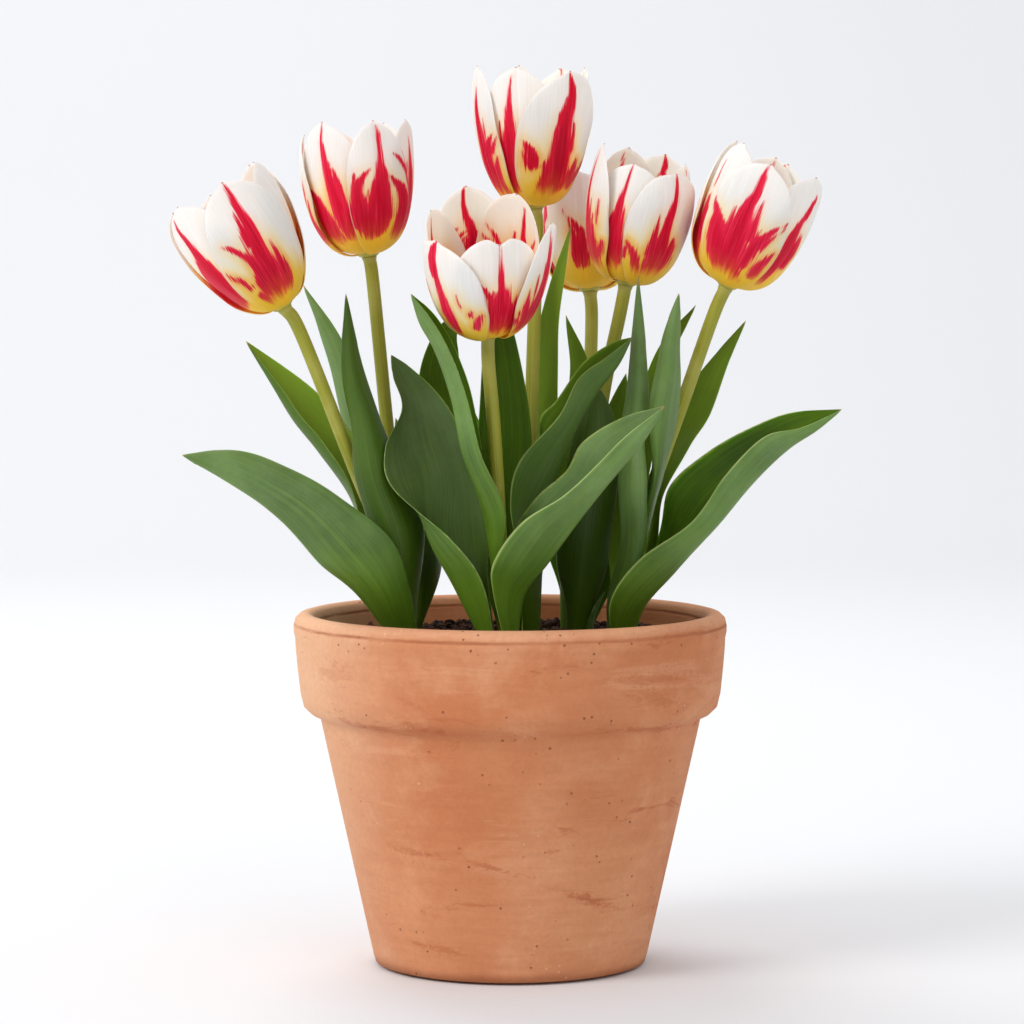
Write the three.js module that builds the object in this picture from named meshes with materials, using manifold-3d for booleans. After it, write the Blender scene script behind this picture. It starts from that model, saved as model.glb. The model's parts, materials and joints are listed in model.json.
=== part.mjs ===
// A clay pot of tulips: the pot, its soil, seven bulbs under the soil, and for each bulb one stem,
// its leaves, and its bloom with the pistil and stamens inside.
// Millimetres, +Z up. The origin is on the surface that the pot stands on, on the pot's axis,
// and -Y is the front.
import * as THREE from "three";
import { mergeVertices } from "three/addons/utils/BufferGeometryUtils.js";
import Module from "manifold-3d";

const wasm = await Module();
wasm.setup();

// ---------------------------------------------------------------- driving dimensions

const GAP = 0.35; // clearance between neighbouring pieces that touch on the real thing

const POT = {
  height: 163,
  footRadius: 57,
  baseRadius: 62.5, // the wall's outer radius just above the rounded foot
  bandRadius: 100, // the widest part of the rim band
  bandHeight: 46,
  bandStep: 11.5, // how far the wall stands inside the widest part of the band
  innerBase: 54, // the cavity's radius at the floor
  innerTop: 90, // and just under the rim
  floor: 9,
  drainRadius: 9,
  segments: 40,
};

const SOIL = { edge: 148.5, mound: 2.5, lump: 1.1, segments: 24 };
const GROUND = 150; // height at which stems leave the soil
// The dished hole round each stem, which the feet of the leaves stand in.
const COLLAR = { top: 11.6, bottom: 9.8, low: 145.2, high: 165.2, sides: 8 };

const BULB = { ring: 41, turn: -10, base: 24, height: 44, girth: 16.5, neck: 4.4 };

const STEM = { radius: 3.4, sides: 7, steps: 10 };

const BLADE = { thickness: 0.9, columns: 4, rows: 9 };
// A petal's foot is its distance from the cup's axis where it grows out of the receptacle.
// width and innerWidth are half the width of an outer and an inner petal, as shares of the girth.
const PETAL = {
  thickness: 0.8, columns: 4, rows: 5, foot: 4.6, overlap: 2.7, width: 0.88, innerWidth: 0.82, widest: 0.6,
};
const RECEPTACLE = { radius: 5.6, height: 3.7, sides: 7 };

// Each plant: where its bulb sits in the ring (null is the middle), where its stem leaves the soil,
// two points on the way up, the top of the stem, which way the bloom leans there, and the bloom.
// girth and height are the cup's radius and length, mouth is the radius at the petal tips, and root
// and belly are how quickly the cup widens at its foot and how far it swells in the middle. Each of
// the six petals, an outer one first and then in turns, has the way that it faces, its height as a
// share of the cup's, how far its tip flares out, and its width as a share of the usual.
const PLANTS = [
  {
    seat: 3, ground: [-46, -21], rise: [[-55, -24, 190], [-72, -28, 234]],
    top: [-101.2, -42, 303.3], lean: [-0.54, -0.107, 0.87],
    bloom: {
      girth: 23.9, height: 64.7, mouth: 26.1, root: 0.83, belly: 1.41,
      petals: [
        [-72, 0.98, 2, 1.06], [-16, 0.96, 1.3, 0.96], [42, 0.95, 0.3, 1],
        [98, 0.9, -0.7, 1], [145, 0.95, 0.1, 0.67], [230, 0.98, -0.4, 1.07],
      ],
    },
  },
  {
    seat: 2, ground: [-47, 20], rise: [[-52, 19, 200], [-57, 18, 246]],
    top: [-65.3, 15, 326.1], lean: [-0.138, -0.03, 1],
    bloom: {
      girth: 23.4, height: 65.5, mouth: 25.2, root: 1.09, belly: 1.31,
      petals: [
        [-66, 0.94, 3.3, 0.78], [-16, 0.91, 4.4, 0.97], [59, 0.92, 3.3, 0.68],
        [120, 0.92, -2, 1], [179, 0.91, -2.7, 0.69], [231, 0.97, -2.9, 1.06],
      ],
    },
  },
  {
    seat: 4, ground: [-3, -43], rise: [[-4, -45, 190], [-7, -45, 245]],
    top: [-10.1, -46, 290.7], lean: [-0.02, -0.388, 0.95],
    bloom: {
      girth: 26.2, height: 60.6, mouth: 27.6, root: 0.93, belly: 1.15,
      petals: [
        [-143, 0.87, -0.6, 1.08], [-75, 0.95, 0.2, 1.07], [-22, 0.96, 4.1, 0.72],
        [47, 1.01, -4, 1.06], [107, 1.01, 1.9, 0.89], [165, 0.95, 0.6, 1.01],
      ],
    },
  },
  {
    seat: null, ground: [8, 4], rise: [[9, 6, 210], [10, 9, 265]],
    top: [11.4, 14, 348.2], lean: [-0.056, -0.021, 1],
    bloom: {
      girth: 23.8, height: 65.5, mouth: 27.7, root: 0.93, belly: 1.21,
      petals: [
        [-55, 0.94, 6, 1.14], [14, 0.96, 2.8, 0.82], [58, 0.98, 1.7, 1.07],
        [99, 1.01, -1.9, 0.72], [204, 1.02, -2.7, 0.64], [257, 0.98, -1.6, 1.01],
      ],
    },
  },
  {
    seat: 1, ground: [29, 38], rise: [[34, 42, 195], [37, 47, 255]],
    top: [37.7, 55, 309.5], lean: [-0.05, 0.16, 1],
    bloom: {
      girth: 22, height: 56, mouth: 20, root: 1.1, belly: 1.2,
      petals: [
        [-100, 0.97, 1.5, 1], [-40, 1, -1.5, 1], [20, 1, 0.5, 1],
        [80, 0.96, -0.6, 1], [140, 0.98, 1.2, 1], [200, 1.02, -1, 1],
      ],
    },
  },
  {
    seat: 0, ground: [31, 12], rise: [[35, 9, 205], [43, 4, 264]],
    top: [52.6, -4, 313.1], lean: [0.185, -0.045, 0.98],
    bloom: {
      girth: 24, height: 65.7, mouth: 19.9, root: 0.94, belly: 1.2,
      petals: [
        [-47, 0.83, 0.3, 1.12], [11, 0.89, 0.2, 1], [68, 0.94, 0.5, 0.99],
        [129, 0.93, -1, 1.06], [194, 0.94, 2.8, 0.78], [245, 0.83, -0.6, 0.98],
      ],
    },
  },
  {
    seat: 5, ground: [50, -18], rise: [[60, -15, 205], [80, -15, 264]],
    top: [97.7, -20, 312.4], lean: [0.396, -0.1, 0.92],
    bloom: {
      girth: 24.9, height: 62.8, mouth: 24.4, root: 1.1, belly: 1.21,
      petals: [
        [-102, 0.96, 2.1, 0.95], [-36, 0.98, -0.8, 1.12], [77, 0.97, -0.2, 0.89],
        [93, 0.97, -0.5, 0.92], [153, 0.99, 0, 0.71], [211, 1, 1.1, 1.05],
      ],
    },
  },
];

// Each leaf: the plant that it grows from, the direction in which it leaves the stem, the height
// there, and the points that its midrib passes through, ending at its tip. A leaf that curls has the
// points of its two margins as well; left and right are as seen from the stem. The others have a
// full width, the way that the inner face looks half way up and at the tip, the half angle of the
// channel in degrees (cup), and a wave of the margins as [depth, turns, phase]. nest is how much
// further out than the innermost leaf it clasps the stem.
const LEAVES = [
  {
    name: "leaf_left_arching", plant: 0, from: -115, base: 147, nest: 1.4,
    rib: [
      [-57, -44, 174], [-71, -52, 194], [-89, -60, 214],
      [-110, -67, 228], [-129, -71, 236], [-145, -73, 239],
    ],
    left: [[-45, -38, 175], [-53, -46, 199], [-76, -52, 219], [-100, -58, 233], [-122, -66, 241]],
    right: [[-69, -34, 173], [-86, -46, 189], [-103, -56, 209], [-120, -64, 223], [-135, -69, 232]],
  },
  {
    name: "leaf_left_raised", plant: 0, from: 150, base: 150,
    rib: [
      [-61, -13, 185], [-71, -13, 215], [-86, -11, 237],
      [-98, -9, 252], [-108, -8, 268], [-121, -8, 288],
    ],
    left: [[-63, -27, 189], [-72, -26, 221], [-84, -23, 241], [-96, -19, 255], [-107, -14, 270]],
    right: [[-54, -5, 187], [-62, -4, 224], [-74, -2, 247], [-85, -1, 260], [-97, -2, 271]],
  },
  {
    name: "leaf_left_tall", plant: 0, from: -15, base: 154,
    rib: [
      [-48, -33, 173], [-50, -40, 201], [-59, -44, 228],
      [-64, -42, 251], [-71, -40, 275], [-74, -36, 310],
    ],
    left: [[-42, -22, 173], [-39, -28, 203], [-48, -30, 226], [-57, -32, 250], [-66, -33, 275]],
    right: [[-57, -29, 174], [-63, -36, 201], [-70, -38, 228], [-72, -37, 251], [-76, -36, 275]],
  },
  {
    name: "leaf_rear_left_narrow", plant: 1, from: 175, base: 146, nest: 1.9,
    rib: [[-63, 31, 195], [-72, 36, 243], [-82, 38, 280], [-97, 38, 313]],
    width: 22, face: [[0.5, 0.8, 0.2], [0.4, 0.85, 0.3]], cup: 38, wave: [0.8, 1.1, 0.5],
  },
  {
    name: "leaf_rear_left_sheath", plant: 1, from: -55, base: 150,
    rib: [[-37, 11, 178], [-38, 8, 205], [-46, 7, 232], [-53, 8, 252]],
    width: 28, face: [[-0.75, 0.6, 0.1], [-0.7, 0.6, 0.2]], cup: 50, wave: [1.0, 1.2, 0.8],
  },
  {
    name: "leaf_rear_left_back", plant: 1, from: 60, base: 154, nest: 1.8,
    rib: [[-43, 38, 186], [-42, 52, 210], [-44, 67, 226], [-47, 82, 232]],
    width: 30, face: [[0.0, -0.5, 0.85], [0.0, -0.25, 0.95]], cup: 34, wave: [1.6, 1.3, 0.2],
  },
  {
    name: "leaf_front_left_broad", plant: 2, from: 180, base: 146, nest: 1.4,
    rib: [
      [-25, -46, 178], [-36, -42, 201], [-38, -33, 225], [-43, -27, 243],
      [-45, -23, 261], [-50, -22, 273], [-54, -24, 282],
    ],
    left: [
      [-12, -58, 180], [-26, -59, 200], [-53, -50, 223],
      [-56, -42, 240], [-49, -34, 258], [-53, -27, 272],
    ],
    right: [
      [-10, -37, 183], [-9, -29, 203], [-15, -23, 223],
      [-23, -19, 248], [-32, -18, 263], [-44, -20, 275],
    ],
  },
  {
    name: "leaf_front_left_tall", plant: 2, from: 185, base: 183,
    rib: [
      [-11, -54, 210], [-21, -58, 238], [-26, -60, 263],
      [-33, -61, 284], [-40, -62, 297], [-44, -63, 310],
    ],
    left: [[-2, -61, 212], [-13, -66, 239], [-19, -68, 264], [-27, -68, 285], [-35, -66, 299]],
    right: [[-10.5, -41, 214], [-13.5, -44.5, 244], [-17, -48, 264], [-24, -52, 284], [-33, -57, 300]],
  },
  {
    name: "leaf_front_rear_upright", plant: 2, from: 70, base: 158,
    rib: [[-8, -13, 196], [-3, -13, 245], [-5, -12, 285], [-8, -11, 318]],
    width: 29, face: [[0.1, -1, 0.1], [0.1, -0.95, 0.3]], cup: 32, wave: [1.0, 1.2, 0.3],
  },
  {
    name: "leaf_front_right_waved", plant: 2, from: -10, base: 148, nest: 1.4,
    rib: [
      [5, -51, 173], [17, -56, 190], [29, -62, 207], [40, -68, 222],
      [50, -73, 235], [59, -77, 246], [68, -80, 261],
    ],
    left: [
      [4, -42, 183], [0, -45, 200], [11, -48, 218],
      [25, -55, 231], [32, -61, 244], [49, -69, 255],
    ],
    right: [
      [-8, -58, 178], [-7, -66, 192], [5, -72, 209],
      [22, -77, 220], [37, -80, 234], [51, -82, 248],
    ],
  },
  {
    name: "leaf_middle_rear_left", plant: 3, from: 150, base: 150,
    rib: [[-4, 15, 190], [-20, 22, 228], [-32, 26, 262], [-31, 28, 285], [-24, 30, 302]],
    width: 30, face: [[0.3, -0.9, 0.3], [-0.1, -0.95, 0.3]], cup: 30, wave: [1.2, 1.1, 0.5],
  },
  {
    name: "leaf_middle_tall", plant: 3, from: 45, base: 156,
    rib: [[14, 15, 205], [14.5, 18, 250], [18.5, 18, 295], [28, 14, 341]],
    width: 18, face: [[-0.1, -0.98, 0.1], [-0.35, -0.92, 0.1]], cup: 36, wave: [0.8, 1.3, 0.2],
  },
  {
    name: "leaf_middle_right_curved", plant: 3, from: -50, base: 148, nest: 1.4,
    rib: [
      [10, -13, 183], [14, -20, 210], [23, -25, 232], [31, -28, 251],
      [40, -30, 266], [49, -31, 278], [55, -30, 290],
    ],
    left: [
      [15, -1, 187], [16, -5, 219], [13, -10, 250],
      [21, -16, 261], [33, -21, 278], [45, -26, 287],
    ],
    right: [
      [4, -25, 187], [0, -30, 214], [4, -34, 234],
      [22, -37, 255], [31, -37, 272], [43, -35, 281],
    ],
  },
  {
    name: "leaf_rear_middle", plant: 4, from: -160, base: 148, nest: 0.3,
    rib: [[24, 31, 195], [30, 33, 235], [33, 31, 268], [26, 28, 299]],
    width: 22, face: [[0.2, -0.95, 0.1], [0.2, -0.95, 0.2]], cup: 32, wave: [0.8, 1.2, 0.1],
  },
  {
    name: "leaf_rear_back", plant: 4, from: 85, base: 152, nest: 1.4,
    rib: [[31, 54, 182], [33, 66, 206], [36, 80, 222], [39, 93, 227]],
    width: 32, face: [[0.05, -0.6, 0.8], [0.05, -0.3, 0.95]], cup: 34, wave: [1.8, 1.3, 0.6],
  },
  {
    name: "leaf_right_boat", plant: 5, from: -105, base: 147, nest: 1.4,
    rib: [[32, -1, 175], [35, -7, 205], [39, -9, 238], [40, -4, 267]],
    width: 28, face: [[-0.05, 1, 0.05], [-0.05, 0.9, -0.3]], cup: 50, wave: [0.8, 1.0, 0.2],
  },
  {
    name: "leaf_right_shoot", plant: 5, from: -40, base: 146, nest: 2.8, clasp: 28,
    rib: [[39, 5, 160], [43.5, 3, 172]],
    width: 9, face: [[-0.9, 0.3, 0.2], [-0.9, 0.3, 0.2]], cup: 45, wave: [0, 1, 0],
  },
  {
    name: "leaf_right_rear_upright", plant: 5, from: 95, base: 154,
    rib: [[37, 23, 195], [45, 25, 228], [50, 26, 252], [54, 27, 272]],
    width: 21, face: [[-0.1, -1, 0.1], [-0.1, -0.95, 0.2]], cup: 34, wave: [0.8, 1.2, 0.4],
  },
  {
    name: "leaf_right_back", plant: 5, from: 50, base: 152, nest: 1.4,
    rib: [[47, 21, 180], [56, 34, 203], [64, 47, 218], [72, 61, 224]],
    width: 28, face: [[-0.4, -0.45, 0.8], [-0.2, -0.25, 0.95]], cup: 34, wave: [1.6, 1.3, 0.9],
  },
  {
    name: "leaf_far_right_upright", plant: 6, from: -150, base: 147,
    rib: [
      [48, -30, 170], [55, -35, 195], [55, -35, 222],
      [56, -28, 246], [58, -24, 271], [58, -22, 318],
    ],
    left: [[53, -32, 172], [61, -36, 196], [62, -36, 222], [61, -27, 245], [63, -21, 271]],
    right: [[44, -22, 170], [50, -22, 195], [49, -20, 222], [50, -18, 245], [53, -16, 269]],
  },
  {
    name: "leaf_far_right_pointed", plant: 6, from: -60, base: 178,
    rib: [
      [62, -27, 207], [67, -31, 230], [68, -36, 253],
      [71, -38, 273], [73, -36, 293], [76, -33, 310],
    ],
    left: [[65, -17, 209], [71, -19, 231], [76, -24, 253], [77, -28, 273], [77, -30, 293]],
    right: [[57, -22, 207], [64, -26, 230], [62.5, -31, 253], [65, -33, 273], [69, -33, 292]],
  },
  {
    name: "leaf_far_right_behind", plant: 6, from: 128, base: 152, nest: 1.4,
    rib: [[52, 9, 190], [60, 16, 235], [71, 18, 278], [86, 18, 304]],
    width: 17, face: [[-0.4, -0.9, 0.2], [-0.4, -0.85, 0.3]], cup: 34, wave: [0.6, 1.2, 0.2],
  },
  {
    name: "leaf_far_right_raised", plant: 6, from: 57, base: 150,
    rib: [[63, -8, 190], [69, -2, 223], [78, 4, 242], [87, 8, 259], [95, 10, 275], [109, 12, 297]],
    left: [[60, 3, 194], [67, 7, 229], [75, 11, 248], [81, 12, 263], [91, 13, 277]],
    right: [[66, -18, 188], [70, -13, 217], [82, -8, 239], [92, -3, 254], [98, 4, 271]],
  },
  {
    name: "leaf_far_right_arching", plant: 6, from: -47, base: 147, nest: 1.4,
    rib: [
      [59, -31, 166], [75, -37, 185], [92, -42, 206], [109, -45, 226],
      [124, -46, 240], [137, -45, 249], [149, -42, 258],
    ],
    left: [
      [61, -27, 178], [68, -24, 202], [72, -27, 222],
      [88, -28, 237], [108, -31, 249], [126, -36, 256],
    ],
    right: [
      [45, -42, 171], [58, -49, 191], [81, -54, 208],
      [96, -56, 229], [113, -54, 246], [130, -50, 250],
    ],
  },
];

const COLOUR = {
  clay: 0xc98255, soil: 0x2e211a, bulb: 0x8a5a34, stem: 0x8ba04a, leaf: 0x4c7a38,
  petal: 0xf3ece2, heart: 0xb9a04a,
};

// ---------------------------------------------------------------- helpers

const degrees = (a) => (a * Math.PI) / 180;
const mix = (a, b, t) => a + (b - a) * t;
const ease = (t) => t * t * (3 - 2 * t);
const clamp01 = (t) => Math.min(1, Math.max(0, t));
const compass = (a) => new THREE.Vector3(Math.cos(degrees(a)), Math.sin(degrees(a)), 0);
const bezier = (a, b, c, d, t) =>
  a * (1 - t) ** 3 + 3 * b * t * (1 - t) ** 2 + 3 * c * t * t * (1 - t) + d * t ** 3;

function solidOf(geometry) {
  const bare = geometry.clone();
  bare.deleteAttribute("normal");
  bare.deleteAttribute("uv");
  const merged = mergeVertices(bare, 1e-3);
  return new wasm.Manifold(
    new wasm.Mesh({
      numProp: 3,
      vertProperties: merged.attributes.position.array,
      triVerts: new Uint32Array(merged.index.array),
    }),
  );
}

function geometryOf(solid) {
  const mesh = solid.getMesh();
  const geometry = new THREE.BufferGeometry();
  geometry.setAttribute("position", new THREE.BufferAttribute(mesh.vertProperties, 3));
  geometry.setIndex(new THREE.BufferAttribute(mesh.triVerts, 1));
  return geometry;
}

const joined = (geometries) => geometryOf(geometries.map(solidOf).reduce((a, b) => a.add(b)));

// A closed thin blade over surface(u, v), with u from -1 to 1 across it and v from 0 to 1 along it.
// Both faces are split along the same diagonals.
function blade(surface, columns, rows, thickness) {
  const across = columns + 1;
  const along = rows + 1;
  const side = across * along;
  const positions = new Float32Array(side * 2 * 3);
  const step = 1e-3;
  for (let j = 0; j < along; j++)
    for (let i = 0; i < across; i++) {
      const u = -1 + (2 * i) / columns;
      const v = j / rows;
      const du = surface(u + step, v).sub(surface(u - step, v));
      const dv = surface(u, Math.min(1, v + step)).sub(surface(u, Math.max(0, v - step)));
      const normal = du.cross(dv).normalize();
      const centre = surface(u, v);
      for (const [face, sign] of [[0, 1], [1, -1]])
        centre
          .clone()
          .addScaledVector(normal, (sign * thickness) / 2)
          .toArray(positions, (face * side + j * across + i) * 3);
    }
  const index = [];
  const quad = (a, b, c, d) => index.push(a, b, c, b, d, c);
  const turned = (a, b, c, d) => index.push(a, c, b, b, c, d);
  const at = (i, j) => j * across + i;
  for (let j = 0; j < rows; j++)
    for (let i = 0; i < columns; i++) {
      const corners = [at(i, j), at(i + 1, j), at(i, j + 1), at(i + 1, j + 1)];
      quad(...corners);
      turned(...corners.map((k) => k + side));
    }
  for (let i = 0; i < columns; i++) {
    turned(at(i, 0), at(i + 1, 0), at(i, 0) + side, at(i + 1, 0) + side);
    quad(at(i, rows), at(i + 1, rows), at(i, rows) + side, at(i + 1, rows) + side);
  }
  for (let j = 0; j < rows; j++) {
    quad(at(0, j), at(0, j + 1), at(0, j) + side, at(0, j + 1) + side);
    turned(at(columns, j), at(columns, j + 1), at(columns, j) + side, at(columns, j + 1) + side);
  }
  const geometry = new THREE.BufferGeometry();
  geometry.setAttribute("position", new THREE.BufferAttribute(positions, 3));
  geometry.setIndex(index);
  return geometry;
}

// A round bar along a curve.
function rod(curve, radius, sides, steps) {
  const section = new THREE.Shape(
    Array.from({ length: sides }, (_, k) => {
      const a = (k * 2 * Math.PI) / sides;
      return new THREE.Vector2(radius * Math.cos(a), radius * Math.sin(a));
    }),
  );
  return new THREE.ExtrudeGeometry(section, { steps, extrudePath: curve, bevelEnabled: false });
}

// Turns a profile of [radius, height] points about +Z.
function turnedAboutZ(profile, segments) {
  const points = profile.map(([r, z]) => new THREE.Vector2(r, z));
  return new THREE.LatheGeometry(points, segments).rotateX(Math.PI / 2);
}

const material = (color, roughness) =>
  new THREE.MeshStandardMaterial({ color, roughness, metalness: 0, side: THREE.FrontSide });
const MATERIAL = {
  clay: material(COLOUR.clay, 0.85),
  soil: material(COLOUR.soil, 1.0),
  bulb: material(COLOUR.bulb, 0.7),
  stem: material(COLOUR.stem, 0.5),
  leaf: material(COLOUR.leaf, 0.5),
  petal: material(COLOUR.petal, 0.55),
  heart: material(COLOUR.heart, 0.6),
};

const tulips = new THREE.Group();

function place(name, geometry, finish, parent = tulips) {
  const mesh = new THREE.Mesh(geometry, finish);
  mesh.name = name;
  parent.add(mesh);
  return mesh;
}

// ---------------------------------------------------------------- pot

const wallOutside = (z) =>
  mix(POT.baseRadius, POT.bandRadius - POT.bandStep, z / (POT.height - POT.bandHeight));
const wallInside = (z) =>
  mix(POT.innerBase, POT.innerTop, (z - POT.floor) / (POT.height - 3 - POT.floor));

function potGeometry() {
  const { height, footRadius, bandRadius, bandHeight, floor, drainRadius } = POT;
  const band = height - bandHeight;
  return turnedAboutZ(
    [
      [drainRadius, 0],
      [footRadius, 0],
      [footRadius + 3.8, 1.2],
      [wallOutside(4) + 0.2, 4],
      [wallOutside(band - 2), band - 2],
      [bandRadius - 9, band],
      [bandRadius - 4.4, band + 3],
      [bandRadius - 2.9, band + 8],
      [bandRadius, height - 8],
      [bandRadius - 0.4, height - 3.5],
      [bandRadius - 2.2, height - 0.8],
      [bandRadius - 4.5, height],
      [bandRadius - 7.5, height],
      [wallInside(height - 3) - 0.1, height - 3],
      [wallInside(floor + 4) + 0.1, floor + 4],
      [wallInside(floor) - 3, floor],
      [drainRadius, floor],
      [drainRadius, 0],
    ],
    POT.segments,
  );
}

// ---------------------------------------------------------------- bulbs and stems

const bulbSeat = (seat) =>
  seat === null
    ? new THREE.Vector3(0, 0, BULB.base)
    : compass(BULB.turn + 30 + seat * 60)
        .multiplyScalar(BULB.ring)
        .setZ(BULB.base);

const bulbGeometry = (grow) =>
  turnedAboutZ(
    [
      [0, -grow],
      [BULB.girth * 0.45 + grow, -grow],
      [BULB.girth * 0.93 + grow, BULB.height * 0.2],
      [BULB.girth + grow, BULB.height * 0.42],
      [BULB.girth * 0.72 + grow, BULB.height * 0.72],
      [BULB.neck + grow, BULB.height + 2 * grow],
      [0, BULB.height + 2 * grow],
    ],
    8,
  );

function stemCurve({ seat, ground, rise, top, lean }) {
  const foot = bulbSeat(seat).setZ(BULB.base + BULB.height + GAP);
  const end = new THREE.Vector3(...top);
  const below = end.clone().addScaledVector(new THREE.Vector3(...lean).normalize(), -14);
  return new THREE.CatmullRomCurve3(
    [
      foot,
      foot.clone().setZ(foot.z + 14),
      new THREE.Vector3(...ground, GROUND),
      ...rise.map((p) => new THREE.Vector3(...p)),
      below,
      end,
    ],
    false,
    "catmullrom",
    0.5,
  );
}

// The stem's centre at a height.
function stemAt(curve, height) {
  let low = 0;
  let high = 1;
  for (let k = 0; k < 30; k++) {
    const t = (low + high) / 2;
    if (curve.getPoint(t).z < height) low = t;
    else high = t;
  }
  return curve.getPoint(low);
}

// ---------------------------------------------------------------- soil

function soilSolid(stems) {
  const rings = [1, 0.78, 0.5, 0.2].map((share) => [
    share * (wallInside(SOIL.edge) - GAP),
    SOIL.edge + SOIL.mound * (1 - share * share),
  ]);
  const geometry = turnedAboutZ(
    [
      [0, POT.floor + GAP],
      [wallInside(POT.floor) - 3 - GAP, POT.floor + GAP],
      [wallInside(POT.floor + 4) - GAP, POT.floor + 4],
      ...rings,
      [0, SOIL.edge + SOIL.mound],
    ],
    SOIL.segments,
  );
  const p = geometry.attributes.position;
  for (let i = 0; i < p.count; i++) {
    const [x, y, z] = [p.getX(i), p.getY(i), p.getZ(i)];
    const inside = Math.hypot(x, y) < 80 && z > SOIL.edge;
    const lump = Math.sin(x * 0.21 + 1.3) * Math.cos(y * 0.19) + 0.5 * Math.sin((x - y) * 0.37);
    if (inside) p.setZ(i, z + SOIL.lump * lump);
  }
  let soil = solidOf(geometry);
  PLANTS.forEach((plant, k) => {
    const hollow = bulbGeometry(GAP).translate(...bulbSeat(plant.seat).toArray());
    const { x, y } = stemAt(stems[k], GROUND - 2);
    const collar = turnedAboutZ(
      [[0, COLLAR.low], [COLLAR.bottom, COLLAR.low], [COLLAR.top, COLLAR.high], [0, COLLAR.high]],
      COLLAR.sides,
    ).translate(x, y, 0);
    soil = soil
      .subtract(solidOf(hollow))
      .subtract(solidOf(rod(stems[k], STEM.radius + GAP, STEM.sides, STEM.steps)))
      .subtract(solidOf(collar));
  });
  return soil;
}

// ---------------------------------------------------------------- leaves

// Half the width along a leaf, as a share of its greatest half width.
const leafOutline = (v) =>
  Math.max(0.012, (1 - v ** 2.3) ** 0.92) * mix(0.55, 1.12, ease(clamp01(v / 0.42)));

const CLASP = 60; // how far round the stem each side of a leaf's foot reaches, in degrees

const smooth = (points) => new THREE.CatmullRomCurve3(points, false, "catmullrom", 0.5);
const vectors = (list) => list.map((p) => new THREE.Vector3(...p));

// A leaf whose three curves are given: its cross-section is the parabola through them.
function curledSurface(leaf, foot, axis, reach) {
  const tip = leaf.rib.at(-1);
  const margin = (points, side) => {
    const start = axis.clone().addScaledVector(compass(leaf.from + side * CLASP), reach);
    return smooth([start, ...vectors(points), new THREE.Vector3(...tip)]);
  };
  const rib = smooth([foot, ...vectors(leaf.rib)]);
  const left = margin(leaf.left, 1);
  const right = margin(leaf.right, -1);
  return (u, v) => {
    const [l, m, r] = [left, rib, right].map((curve) => curve.getPoint(clamp01(v)));
    const across = r.clone().sub(l).multiplyScalar(0.5);
    const least = 0.25 * v;
    if (v > 0.9) across.addScaledVector(r.clone().sub(l).normalize(), least);
    const sag = l.add(r).multiplyScalar(0.5).sub(m);
    return m.addScaledVector(across, u).addScaledVector(sag, u * u);
  };
}

// A leaf whose width, facing and channel are given along its midrib.
function channelSurface(leaf, foot, reach) {
  const rib = smooth([foot, ...vectors(leaf.rib)]);
  const out = compass(leaf.from);
  const faces = [out.negate(), ...vectors(leaf.face).map((f) => f.normalize())];
  const [depth, turns, phase] = leaf.wave;
  const clasp = degrees(leaf.clasp ?? CLASP);
  return (u, v) => {
    const along = rib.getTangent(clamp01(v));
    const towards =
      v < 0.45
        ? faces[0].clone().lerp(faces[1], ease(v / 0.45))
        : faces[1].clone().lerp(faces[2], ease((v - 0.45) / 0.55));
    const inner = towards.addScaledVector(along, -towards.dot(along)).normalize();
    const across = new THREE.Vector3().crossVectors(along, inner);
    const opened = ease(clamp01(v / 0.3));
    const half = mix(reach * clasp, (leaf.width / 2) * leafOutline(v), opened);
    const bend = mix(clasp, degrees(leaf.cup), opened);
    const radius = half / bend;
    const shown = ease(clamp01(v / 0.3)) * ease(clamp01((1 - v) / 0.2));
    const swing = Math.sin(2 * Math.PI * turns * v + phase + (u < 0 ? 0.9 : 0));
    const wave = depth * shown * Math.abs(u) ** 2 * swing;
    return rib
      .getPoint(clamp01(v))
      .addScaledVector(across, radius * Math.sin(u * bend))
      .addScaledVector(inner, radius * (1 - Math.cos(u * bend)) + wave);
  };
}

function leafSurface(leaf, stem) {
  const reach = STEM.radius + GAP + BLADE.thickness / 2 + 0.1 + (leaf.nest ?? 0);
  const axis = stemAt(stem, leaf.base);
  const foot = axis.clone().addScaledVector(compass(leaf.from), reach);
  return leaf.left ? curledSurface(leaf, foot, axis, reach) : channelSurface(leaf, foot, reach);
}

// ---------------------------------------------------------------- blooms

// Half the width at a height on a petal, as a share of its greatest half width.
const petalOutline = (v) =>
  mix(0.1, 1, Math.sin((Math.min(1, v / PETAL.widest) * Math.PI) / 2) ** 1.1);

// How high a petal reaches at each place across it: a round top with a slight point.
const petalTop = (u) => mix(PETAL.widest, 1, Math.sqrt(1 - 0.98 * u * u)) - 0.03 * Math.abs(u);

// One petal of a cup: its midrib is a curve in the plane through the cup's axis, and its width wraps
// round the axis. Outer petals stand PETAL.overlap outside the inner ones.
function petalSurface({ girth, height, mouth, root, belly, petals }, k) {
  const [facing, tall, flare, wide] = petals[k];
  const outer = k % 2 === 0;
  const inset = outer ? 0 : PETAL.overlap;
  const halfWidth = wide * girth * (outer ? PETAL.width : PETAL.innerWidth);
  return (u, t) => {
    const v = t * petalTop(u);
    const radius = bezier(PETAL.foot, root * girth, belly * girth, mouth + flare, v) - inset;
    const z = bezier(1.4, -0.6 + inset * 0.5, 0.62 * height, height * tall, v) + inset * 0.3;
    const angle = degrees(facing) + (u * halfWidth * petalOutline(v)) / radius;
    return new THREE.Vector3(radius * Math.cos(angle), radius * Math.sin(angle), z);
  };
}

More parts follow.
